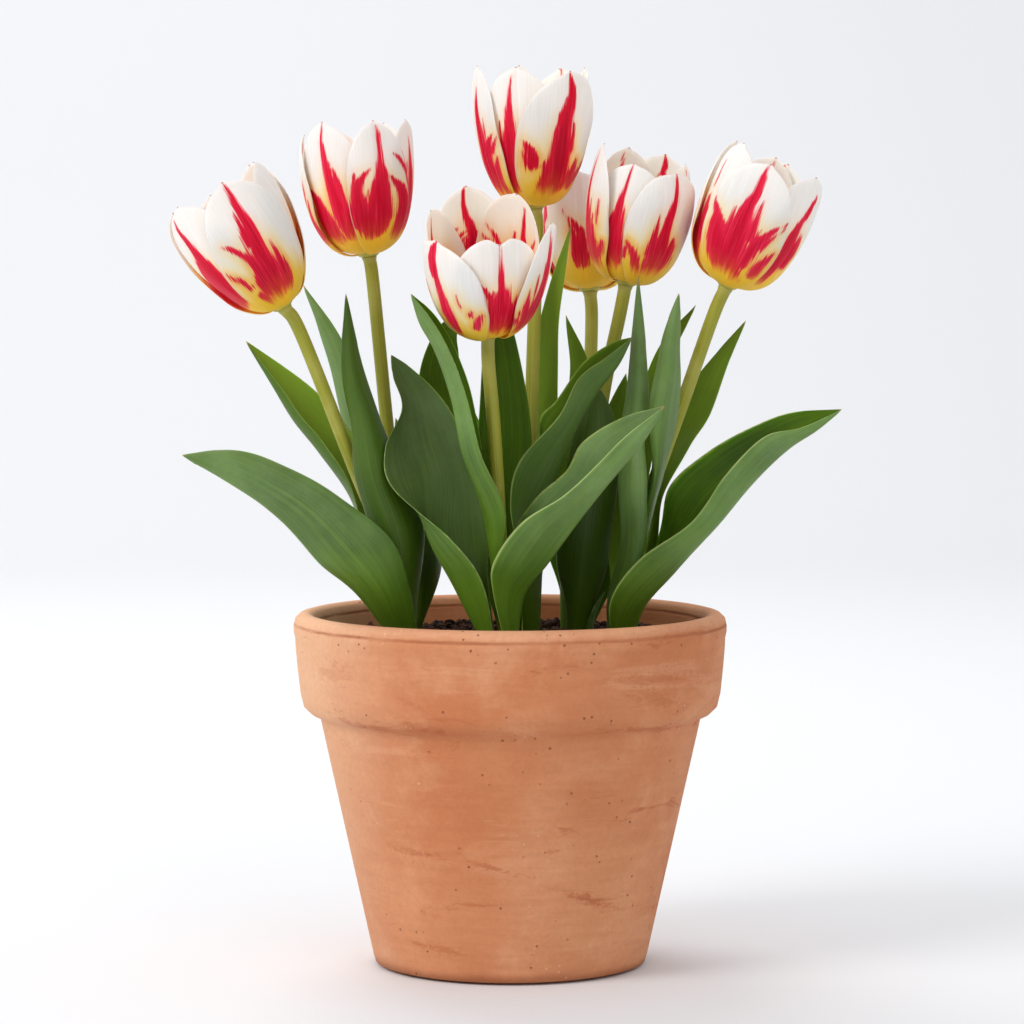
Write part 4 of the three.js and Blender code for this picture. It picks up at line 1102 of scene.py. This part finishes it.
# %% Flame strokes
FLAMES = {
    (1, 0): [
        [(-2, 99, 2), (-2, 95, 8), (-2, 90, 13), (-3, 85, 17), (-3, 79, 22), (-2, 72, 28), (-3, 66, 31),
         (-7, 58, 37), (-8, 50, 43), (-10, 42, 43), (-13, 33, 37), (-18, 25, 20)],
        [(-17, 81, 2), (-16, 77, 7), (-19, 70, 10), (-21, 64, 12)],
        [(-27, 70, 2), (-28, 66, 4), (-30, 60, 5), (-28, 56, 7)],
        [(-72, 70, 2), (-58, 67, 9), (-44, 62, 13), (-36, 57, 15), (-28, 51, 19), (-34, 43, 20),
         (-35, 34, 17)],
        [(-93, 56, 2), (-84, 52, 7), (-71, 47, 7), (-65, 42, 4)],
        [(-57, 34, 2), (-48, 29, 4), (-46, 22, 2)],
        [(20, 60, 2), (21, 52, 12), (22, 43, 20), (23, 34, 20), (22, 27, 10)],
    ],
    (1, 1): [
        [(48, 85, 2), (48, 81, 8), (45, 73, 13), (43, 66, 20), (41, 59, 26), (38, 52, 35), (37, 44, 42),
         (33, 36, 42), (32, 30, 29), (31, 23, 8)],
        [(-8, 69, 2), (-3, 66, 4)],
        [(-37, 56, 3), (-42, 51, 7), (-38, 42, 14), (-29, 35, 15), (-38, 25, 9)],
        [(-12, 48, 2), (-8, 42, 7), (3, 35, 15)],
    ],
    (1, 4): [
        [(52, 59, 2), (88, 55, 5), (100, 50, 3)],
        [(81, 51, 2), (98, 46, 5), (100, 39, 7), (99, 31, 4)],
    ],
    (1, 5): [
        [(-26, 93, 2), (-28, 88, 8), (-22, 82, 14), (-18, 76, 20), (-18, 69, 31), (-20, 62, 50),
         (-22, 54, 63), (-32, 45, 76), (-50, 37, 67), (-71, 31, 31)],
        [(-38, 69, 3), (-39, 65, 18), (-51, 58, 27), (-77, 50, 18)],
        [(2, 66, 2), (1, 60, 7), (-7, 51, 11), (-12, 43, 11), (-7, 34, 6)],
    ],
    (2, 0): [
        [(5, 96, 2), (6, 90, 9), (5, 84, 10), (3, 77, 13), (2, 72, 18), (5, 66, 34), (-1, 60, 48),
         (-6, 53, 58), (-12, 46, 66), (-28, 40, 65), (-43, 34, 34)],
        [(-10, 74, 2), (-12, 69, 6), (-13, 63, 16)],
        [(-32, 71, 2), (-50, 68, 11), (-65, 64, 17), (-72, 59, 23), (-71, 51, 35), (-69, 43, 40)],
        [(-76, 69, 2), (-84, 64, 5), (-88, 57, 9), (-85, 49, 20)],
        [(-25, 61, 2), (-32, 58, 5), (-39, 54, 8)],
        [(-41, 60, 2), (-48, 55, 6), (-50, 49, 11)],
        [(30, 66, 2), (48, 62, 14), (68, 57, 28), (79, 51, 36), (80, 44, 38), (75, 37, 34), (63, 29, 22)],
        [(48, 78, 2), (67, 75, 8), (86, 70, 11), (96, 66, 10), (99, 60, 8), (97, 53, 2)],
        [(84, 79, 2), (97, 69, 3), (100, 60, 3), (100, 52, 2)],
    ],
    (2, 4): [
        [(77, 59, 2), (69, 52, 11), (70, 44, 16), (82, 37, 12), (78, 29, 4)],
    ],
    (2, 5): [
        [(1, 99, 2), (2, 94, 7), (0, 88, 10), (4, 83, 14), (8, 76, 19), (13, 70, 27), (17, 62, 35),
         (22, 55, 41), (31, 46, 45), (40, 38, 39), (48, 31, 23)],
        [(21, 76, 2), (29, 70, 8), (35, 64, 14), (38, 56, 17)],
        [(43, 63, 2), (43, 57, 7), (43, 50, 13)],
        [(-94, 65, 2), (-55, 60, 16), (-37, 54, 32), (-32, 47, 45), (-22, 38, 48), (-11, 30, 32)],
        [(47, 52, 2), (43, 45, 10), (41, 37, 12)],
    ],
    (3, 0): [
        [(2, 100, 3), (-5, 92, 18), (-9, 84, 26), (-5, 77, 30), (2, 71, 21), (7, 64, 23), (10, 56, 28),
         (10, 46, 28), (15, 37, 24), (23, 28, 18), (38, 23, 8)],
        [(-18, 84, 5), (-14, 81, 13)],
        [(-43, 64, 4), (-40, 57, 10), (-48, 49, 5)],
        [(42, 63, 2), (43, 59, 4), (44, 56, 2)],
        [(46, 56, 2), (47, 55, 3)],
        [(67, 52, 2), (63, 49, 5)],
        [(87, 50, 2), (79, 45, 9), (73, 37, 5)],
        [(7, 33, 3), (23, 28, 11), (38, 23, 8)],
    ],
    (3, 1): [
        [(2, 91, 2), (2, 83, 5), (2, 77, 8), (3, 70, 12), (4, 64, 17), (4, 59, 30), (3, 51, 41),
         (4, 43, 46), (9, 31, 44)],
        [(-40, 67, 2), (-28, 63, 9), (-18, 57, 13), (-12, 49, 20), (-10, 38, 24)],
        [(-13, 62, 2), (-12, 56, 6), (-8, 49, 16)],
        [(19, 66, 2), (18, 60, 8), (17, 52, 15), (22, 39, 24)],
        [(35, 57, 2), (32, 51, 9), (33, 42, 15), (39, 32, 18), (60, 20, 15)],
    ],
    (3, 2): [
        [(-77, 50, 2), (-53, 44, 8)],
        [(-84, 47, 2), (-68, 41, 8), (-68, 34, 9)],
        [(-92, 42, 2), (-78, 37, 5)],
    ],
    (3, 3): [
        [(-18, 91, 2), (-12, 85, 6), (-8, 79, 9), (-5, 72, 13), (-12, 70, 7)],
        [(15, 74, 3), (17, 71, 6)],
        [(77, 78, 2), (67, 74, 6), (57, 70, 9), (48, 65, 8)],
        [(88, 72, 2), (78, 69, 5), (65, 67, 4)],
        [(-54, 75, 2), (-38, 69, 11), (-39, 65, 5)],
    ],
    (3, 4): [
        [(1, 101, 2), (6, 95, 9), (7, 88, 12), (3, 81, 15), (-6, 75, 19), (-12, 68, 24), (-5, 65, 31)],
        [(24, 75, 2), (35, 73, 5), (45, 68, 7)],
        [(4, 73, 2), (17, 71, 7), (32, 68, 9), (37, 65, 6)],
        [(2, 70, 2), (13, 68, 6), (21, 64, 9), (24, 60, 8)],
        [(-23, 72, 2), (-32, 69, 6), (-43, 67, 5)],
        [(-19, 70, 2), (-30, 67, 5)],
        [(-5, 62, 12), (20, 62, 12), (23, 58, 4)],
    ],
    (4, 0): [
        [(0, 98, 2), (3, 94, 9), (7, 89, 16), (8, 84, 21), (5, 78, 25), (0, 73, 30), (-4, 66, 36),
         (-7, 59, 45), (-7, 51, 49), (-7, 42, 47), (-9, 32, 41), (-23, 26, 26), (-43, 22, 14)],
        [(-5, 83, 2), (-7, 79, 7), (-9, 73, 15)],
        [(-18, 75, 2), (-19, 70, 7), (-22, 64, 13), (-22, 56, 17), (-22, 47, 17)],
        [(18, 68, 2), (18, 62, 8), (16, 55, 15)],
        [(-87, 61, 4), (-76, 57, 13), (-65, 53, 21), (-57, 49, 19), (-52, 45, 5)],
        [(-86, 55, 4), (-76, 50, 13), (-67, 46, 10)],
        [(-40, 47, 2), (-38, 41, 6), (-42, 34, 11), (-50, 26, 13)],
        [(42, 48, 2), (39, 44, 12), (29, 37, 16), (18, 31, 13)],
        [(99, 57, 2), (96, 52, 8), (86, 46, 8), (62, 39, 12), (43, 31, 10)],
    ],
    (4, 2): [
        [(-5, 100, 3), (-7, 96, 2)],
    ],
    (4, 4): [
        [(71, 64, 2), (46, 60, 14), (24, 55, 30), (9, 49, 21), (7, 43, 21), (7, 35, 17), (5, 29, 7)],
        [(90, 62, 2), (71, 59, 8), (51, 55, 12)],
        [(68, 51, 2), (54, 46, 10), (48, 40, 13), (43, 32, 9)],
    ],
    (4, 5): [
        [(-10, 95, 2), (-17, 88, 6), (-21, 80, 11), (-22, 72, 20), (-26, 62, 33), (-29, 52, 40),
         (-40, 40, 45), (-49, 30, 36)],
        [(-32, 77, 2), (-32, 72, 5), (-33, 65, 12), (-37, 55, 21)],
        [(-48, 70, 2), (-49, 66, 6), (-47, 61, 10), (-47, 52, 16), (-61, 41, 18)],
        [(-12, 68, 2), (-14, 62, 8), (-15, 53, 13), (-18, 44, 13), (-21, 35, 10), (-24, 28, 4)],
    ],
    (5, 0): [
        [(2, 62, 2), (6, 58, 12), (5, 52, 20), (2, 46, 24), (1, 40, 24), (6, 35, 12)],
        [(-39, 73, 2), (-28, 67, 5), (-22, 62, 7), (-15, 56, 10), (-12, 49, 16), (-12, 40, 18),
         (-10, 35, 8)],
        [(-24, 68, 2), (-12, 64, 8), (-3, 59, 13)],
        [(-32, 63, 2), (-30, 59, 3)],
        [(-90, 76, 5), (-93, 72, 10), (-97, 68, 6)],
    ],
    (6, 0): [
        [(-5, 99, 2), (-6, 91, 9), (-7, 85, 13), (-8, 78, 17), (-12, 71, 20), (-16, 65, 23), (-17, 58, 27),
         (-18, 51, 37), (-20, 42, 48), (-22, 35, 48), (-28, 26, 25)],
        [(-37, 68, 2), (-38, 63, 7), (-38, 56, 12), (-37, 50, 18), (-38, 43, 20)],
        [(9, 55, 2), (10, 50, 14), (9, 42, 22), (5, 34, 22), (2, 26, 15)],
        [(-91, 48, 2), (-82, 44, 7), (-72, 38, 10), (-65, 31, 9), (-65, 20, 15), (-78, 15, 6)],
        [(-94, 43, 2), (-96, 38, 4)],
        [(-62, 31, 4), (-54, 25, 8)],
    ],
    (6, 2): [
        [(0, 100, 2), (-2, 96, 9), (-2, 92, 13), (4, 88, 11), (12, 85, 4)],
    ],
    (6, 3): [
        [(6, 96, 2), (6, 93, 3), (7, 90, 2)],
    ],
    (6, 4): [
        [(57, 43, 2), (44, 39, 13), (48, 33, 14), (47, 27, 5)],
        [(78, 43, 2), (71, 38, 8), (56, 31, 7)],
        [(54, 59, 2), (42, 56, 5), (28, 53, 3)],
    ],
    (6, 5): [
        [(1, 99, 2), (1, 92, 5), (1, 85, 7), (0, 79, 8), (-2, 73, 12), (-3, 68, 18), (-6, 62, 25),
         (-11, 56, 32), (-15, 49, 39), (-17, 42, 41), (-18, 34, 38), (-22, 25, 25)],
        [(-10, 68, 2), (-15, 62, 13), (-25, 54, 17), (-32, 47, 19), (-38, 38, 17)],
        [(6, 70, 2), (7, 65, 8), (7, 56, 10), (7, 49, 8), (7, 40, 9), (7, 30, 5)],
    ],
    (7, 0): [
        [(0, 99, 2), (-2, 94, 7), (-2, 90, 13), (-1, 84, 16), (-1, 79, 20), (-5, 74, 25), (-7, 68, 34),
         (-7, 61, 42), (-5, 53, 50), (-5, 46, 51), (-2, 39, 46), (10, 30, 34), (23, 25, 19)],
        [(20, 78, 2), (19, 74, 8), (21, 68, 13), (21, 62, 19), (22, 56, 22)],
        [(-96, 70, 2), (-86, 66, 7), (-70, 62, 20), (-62, 56, 37), (-53, 50, 46), (-42, 42, 49),
         (-30, 36, 42), (-23, 29, 24)],
        [(-32, 69, 2), (-32, 64, 6), (-32, 59, 8), (-31, 54, 16)],
        [(-51, 61, 2), (-43, 57, 9), (-34, 53, 17)],
        [(40, 63, 2), (35, 60, 5), (33, 57, 10)],
        [(88, 71, 2), (73, 67, 7), (58, 62, 14), (48, 57, 23), (39, 53, 27), (33, 47, 27), (32, 40, 19)],
        [(88, 68, 2), (72, 62, 6), (61, 57, 10), (52, 53, 12)],
        [(89, 53, 2), (82, 49, 9), (75, 44, 12), (72, 37, 14), (72, 32, 7)],
    ],
    (7, 1): [
        [(12, 90, 2), (15, 87, 9), (8, 83, 10), (2, 78, 16), (-5, 74, 17), (-9, 69, 25), (-12, 62, 36),
         (-12, 56, 42), (-16, 49, 42), (-20, 42, 36), (-22, 34, 25), (-22, 27, 12)],
        [(12, 66, 4), (12, 61, 18), (12, 54, 30), (7, 48, 25)],
    ],
    (7, 2): [
        [(7, 98, 3), (6, 92, 4)],
    ],
    (7, 5): [
        [(-26, 87, 2), (-28, 82, 5), (-25, 76, 7), (-28, 71, 4)],
        [(-28, 67, 4), (-32, 63, 19), (-32, 57, 35), (-36, 50, 46), (-45, 43, 52), (-62, 35, 45),
         (-62, 29, 27)],
    ],
}
# how dark the crimson of a petal is, from 0 for pink to 1
SHADES = {
    (1, 0): 0.6, (1, 1): 0.7, (2, 0): 0.5, (2, 5): 0.15, (3, 0): 0.1, (3, 1): 0.5, (3, 3): 0.6,
    (3, 4): 0.7, (4, 0): 0.95, (4, 4): 0.4, (4, 5): 0.5, (5, 0): 0.6, (6, 0): 0.7, (6, 5): 0.6,
    (7, 0): 0.2, (7, 1): 0.7, (7, 5): 0.5,
}
USUAL_SHADE = 0.45
DRAWN_INSIDE = {(3, 3), (3, 4)}
PART_DRAWN = {(1, 4), (2, 4), (3, 2), (4, 2), (4, 4), (6, 2), (6, 3), (6, 4), (7, 2)}
print("petals with drawn strokes:", len(FLAMES))


# %% From strokes to a flame
def seeded_flame(number, k):
    """A flame for a petal that has no drawn strokes, from the petal's own seed."""
    pick = random.Random(100 * number + k)
    sway = pick.uniform(-7, 7)
    strokes = [[(0, 12, 45), (sway, 30, pick.uniform(60, 85)), (-sway, 52, 42), (sway / 2, 72, 20),
                (0, pick.uniform(88, 98), 2)]]
    for side in (-1, 1):
        for step in range(pick.choice((2, 3))):
            across = side * (16 + 17 * step + pick.uniform(-4, 4))
            start = 14 + 7 * step + pick.uniform(0, 8)
            reach = pick.uniform(22, 34)
            strokes.append([(across, start, 34), (across * 1.25, start + 0.6 * reach, 18),
                            (across * 1.35, start + reach, 2)])
        for _ in range(3):
            across, start = side * pick.uniform(10, 62), pick.uniform(45, 62)
            strokes.append([(across, start, 3), (across * 1.05, start + 6, 8), (across * 1.1, start + 13, 2)])
    return strokes


def strokes_of(petal, inside):
    """The strokes on one face of a petal: the drawn ones, the seeded ones, or both."""
    drawn = FLAMES.get(petal, [])
    if petal in DRAWN_INSIDE:
        return drawn if inside else seeded_flame(*petal)
    if drawn and petal not in PART_DRAWN:
        return drawn
    return drawn + seeded_flame(*petal)


def inside_flame(strokes, u, v, half_width, length):
    """How far each place lies inside the strokes, in millimetres; negative outside."""
    def flat(u, v):
        return np.stack([u * half_width * petal_outline(v), v * length], axis=-1)

    place = flat(u, v)
    depth = np.full(len(u), -50.0)
    for stroke in strokes:
        across, up, width = (np.array(stroke, float) * [0.01, 0.01, 0.1]).T
        ends = flat(across, up)
        for a, b, w0, w1 in zip(ends, ends[1:], width, width[1:]):
            share = np.clip(((place - a) @ (b - a)) / max(1e-6, (b - a) @ (b - a)), 0, 1)
            away = np.linalg.norm(place - (a + share[:, None] * (b - a)), axis=1)
            depth = np.maximum(depth, mix(w0, w1, share) - away)
    return depth


print("strokes on one seeded petal:", len(seeded_flame(1, 2)))

# %% [markdown]
# ### Petal finish
# The petal is ivory white with a satin sheen. The flame is crimson, darker along the middle and
# streaked along the veins, and cream yellow where it meets the white low down. The foot is yellow.
# The inner side is a warmer white, painted brighter than the outer side as light that shines into
# the cup, and an orange glow reaches far up round the flame.


# %% Petal finish
def petal_side(name, inside):
    petal = Finish(name, Specular_IOR_Level=0.12, Subsurface_Weight=0.75,
                   Subsurface_Radius=(1.0, 0.92, 0.84), Subsurface_Scale=0.0022)
    along = petal.read_sheet()[1]
    own = petal.attribute("own")
    broad = petal.streaks(15, 2.6, own, 3, 0.6)
    veins = petal.streaks(75, 3.4, own, 3, 0.6)
    feather = petal.plus(petal.swing(broad, 2.2), petal.swing(veins, 3.0))
    feather = petal.times(feather, petal.band(along, 0.6, 0.34, 0.9, 1.9))
    depth = petal.plus(petal.attribute("flame_depth"), feather)
    depth = petal.plus(depth, petal.band(along, 0.6, 0.36, 0.1, 1.1))
    ragged = petal.plus(along, petal.swing(broad, 0.22))
    # painted light: the inner side's whites are nearly pure white, brighter than the outer side's, for light
    # shining through the petals into the cup
    if inside:
        low_white, high_white, foot = "fef7e6", "fffbee", "f7b044"
        glow_reach, glow_top, foot_top, foot_full = -12.0, 0.92, 0.7, 0.36
    else:
        low_white, high_white, foot = "e6e3de", "edebe7", "f8bf36"
        glow_reach, glow_top, foot_top, foot_full = -3.5, 0.66, 0.55, 0.3
    petal.tint = petal.mix(petal.band(veins, 0.35, 0.7), low_white, high_white)
    petal.coat("f0e7dd", petal.band(petal.noise(petal.objects(), 60, 3), 0.4, 0.75, 0, 0.25))
    blush = petal.times(petal.band(depth, -3.8, 0.0), petal.band(along, 0.95, 0.5, 0.1, 0.5))
    petal.coat("f2b3a8", petal.times(blush, petal.band(veins, 0.3, 0.6, 0.45, 1.0)))
    petal.coat("f8dc9c", petal.times(petal.band(depth, -9.0, -0.5, 0.1, 0.9), petal.band(ragged, 0.82, 0.48)))
    glow = petal.times(petal.band(depth, glow_reach, 0.0, 0, 0.85), petal.band(ragged, glow_top, 0.46))
    petal.coat("f4aa62", glow)
    petal.coat(foot, petal.band(ragged, foot_top, foot_full, 0, 0.95))
    pink = petal.mix(petal.band(depth, 0.1, 3.5), "e6264f", "d60a38")
    dark = petal.mix(petal.band(depth, 0.1, 3.0), "d80a34", "bc0226")
    crimson = petal.mix(petal.attribute("shade"), pink, dark)
    crimson = petal.mix(petal.band(veins, 0.44, 0.72, 0, 0.4), crimson, "98001e")
    lit_veins = petal.times(petal.band(veins, 0.46, 0.28), petal.band(along, 0.7, 0.4, 0.25, 0.6))
    crimson = petal.mix(lit_veins, crimson, "ec4a60")
    crimson = petal.mix(petal.band(ragged, 0.45, 0.26, 0, 0.35), crimson, "e0662c")
    petal.coat(crimson, petal.band(depth, -0.55, 0.45))
    petal.coat(foot, petal.band(ragged, 0.33, 0.2, 0, 0.95))
    edge = petal.band(petal.plus(petal.attribute("edge"), petal.times(broad, 0.5)), 0.9, 0.5)
    petal.coat("d98a86", petal.times(edge, petal.band(along, 0.1, 0.5, 0, 0.22)))
    petal.coat("5d1226", petal.band(petal.attribute("tip"), 1.1, 0.4, 0, 0.7))
    height = petal.plus(veins, petal.times(broad, 0.6))
    return petal.paint(petal.band(veins, 0.3, 0.7, 0.45, 0.58), height, 0.00035, 0.3)


def knob_finish():
    knob = Finish("receptacle", Roughness=0.5)
    knob.tint = knob.mix(knob.band(knob.noise(knob.objects(), 300, 3), 0.35, 0.7), "c6bc52", "aaa846")
    return knob.paint()


petal_finishes = [petal_side("petal_outer_side", False), petal_side("petal_inner_side", True), knob_finish()]
print("bloom finishes:", [finish.name for finish in petal_finishes])


# %% Lay the petals
def add_knob(bm, plant):
    """The swollen top of the stem that the petals grow from."""
    knob = bmesh.ops.create_uvsphere(bm, u_segments=20, v_segments=12, radius=5.3 * MM)["verts"]
    for vert in knob:
        vert.co.z = max(vert.co.z, -0.0035) * 0.55 + 0.00195
    bmesh.ops.transform(bm, matrix=bloom_place(plant), verts=knob)
    set_finish(knob, 2)


def add_petal(bm, number, k):
    petal = (number, k)
    surface, height, half_width = petal_surface(*petal)
    around, rows = (112, 84) if petal in FLAMES else (64, 50)
    verts, u, t = lay_sheet(bm, surface, around, rows, 0.8, rows_near_tip=True, height=height)
    v = height(u, t)
    length = PLANTS[number - 1]["bloom"]["height"]
    depth = inside_flame(strokes_of(petal, False), u, v, half_width, length)
    if petal in DRAWN_INSIDE:
        inside = np.array([all(face.material_index for face in vert.link_faces) for vert in verts])
        depth = np.where(inside, inside_flame(strokes_of(petal, True), u, v, half_width, length), depth)
    write_numbers(
        bm, verts, own=3.1 * number + k, shade=SHADES.get(petal, USUAL_SHADE), flame_depth=depth,
        edge=np.minimum((1 - np.abs(u)) * half_width, (1 - t) * length),
        tip=np.hypot(u * half_width, (height(0 * u, 1) - v) * length))


for number, plant in enumerate(PLANTS, 1):
    bloom = new_sheet_mesh("flame_depth", "edge", "tip", "own", "shade")
    for k in range(6):
        add_petal(bloom, number, k)
    close_tubes(bloom, 4e-6)
    add_knob(bloom, plant)
    new_piece(f"bloom_{number}_petals", bloom, petal_finishes, "petal", [f"bloom_{number}"])
print("petals laid:", 6 * len(PLANTS))

# %% [markdown]
# ## Pistils and stamens
# In the middle of each bloom stands a pale green pistil with a three-lobed yellow head, and round it
# six stamens: a pale stalk with a long dark purple head, dusted with pollen.

# %% Heart of a bloom
HEART_FOOT = 4.1
PISTIL_OUTLINE = [(0, HEART_FOOT), (3.8, HEART_FOOT), (3.9, 5.1), (2.7, 6.7), (2.5, 9), (2.9, 14),
                  (2.8, 19), (2.2, 21), (0, 21.4)]
STALK, LOBE_HEIGHT, HEAD_HEIGHT = 9.5, 22.0, 14.6


def small_ball(bm, around, rows, stretch):
    ball = bmesh.ops.create_uvsphere(bm, u_segments=around, v_segments=rows, radius=1.0 * MM)["verts"]
    bmesh.ops.scale(bm, vec=stretch, verts=ball)
    return ball


def spin_round(bm, verts, angle, axis):
    bmesh.ops.rotate(bm, cent=(0, 0, 0), matrix=Matrix.Rotation(angle, 3, axis), verts=verts)


def add_lobe(bm, k):
    """One of the three lobes on the pistil's head."""
    lobe = small_ball(bm, 14, 10, (2.5, 1.15, 1.0))
    spin_round(bm, lobe, -0.35, "Y")
    bmesh.ops.translate(bm, vec=(1.9 * MM, 0, LOBE_HEIGHT * MM), verts=lobe)
    spin_round(bm, lobe, k * 2.094, "Z")
    set_finish(lobe, 1)


def add_stamen(bm, k):
    """A thin stalk and a long head with a groove down it, leaning out a little."""
    stalk = bmesh.ops.create_cone(bm, segments=12, radius1=1.0 * MM, radius2=0.5 * MM,
                                  depth=STALK * MM, cap_ends=True)["verts"]
    bmesh.ops.translate(bm, vec=(0, 0, STALK / 2 * MM), verts=stalk)
    head = small_ball(bm, 14, 12, (1.25, 1.7, 5.8))
    for vert in head:
        vert.co.x *= 1 - 0.35 * math.exp(-(vert.co.y / 0.0005) ** 2)
    bmesh.ops.translate(bm, vec=(0, 0, HEAD_HEIGHT * MM), verts=head)
    for verts, index in ((stalk, 2), (head, 3)):
        spin_round(bm, verts, math.radians(12), "Y")
        bmesh.ops.translate(bm, vec=(3 * MM, 0, (HEART_FOOT + 0.4) * MM), verts=verts)
        spin_round(bm, verts, math.radians(60 * k + 30), "Z")
        set_finish(verts, index)


heart_finishes = [
    grained("pistil_green", "a9b86a", "c9cf8d", 300, 0.5),
    grained("stigma_cream", "d9cf8a", "efe6b4", 500, 0.7),
    grained("filament_pale", "d8cf7a", "7c4a5a", 120, 0.5),
    grained("anther_dark", "26121f", "4a2a3c", 900, 0.9),
]
for number, plant in enumerate(PLANTS, 1):
    heart = spun(PISTIL_OUTLINE, 24)
    for k in range(3):
        add_lobe(heart, k)
    for k in range(6):
        add_stamen(heart, k)
    bmesh.ops.transform(heart, matrix=bloom_place(plant), verts=heart.verts)
    new_piece(f"heart_{number}_pistil_and_stamens", heart, heart_finishes, "pistil", [f"heart_{number}"])
print("hearts:", len(PLANTS))
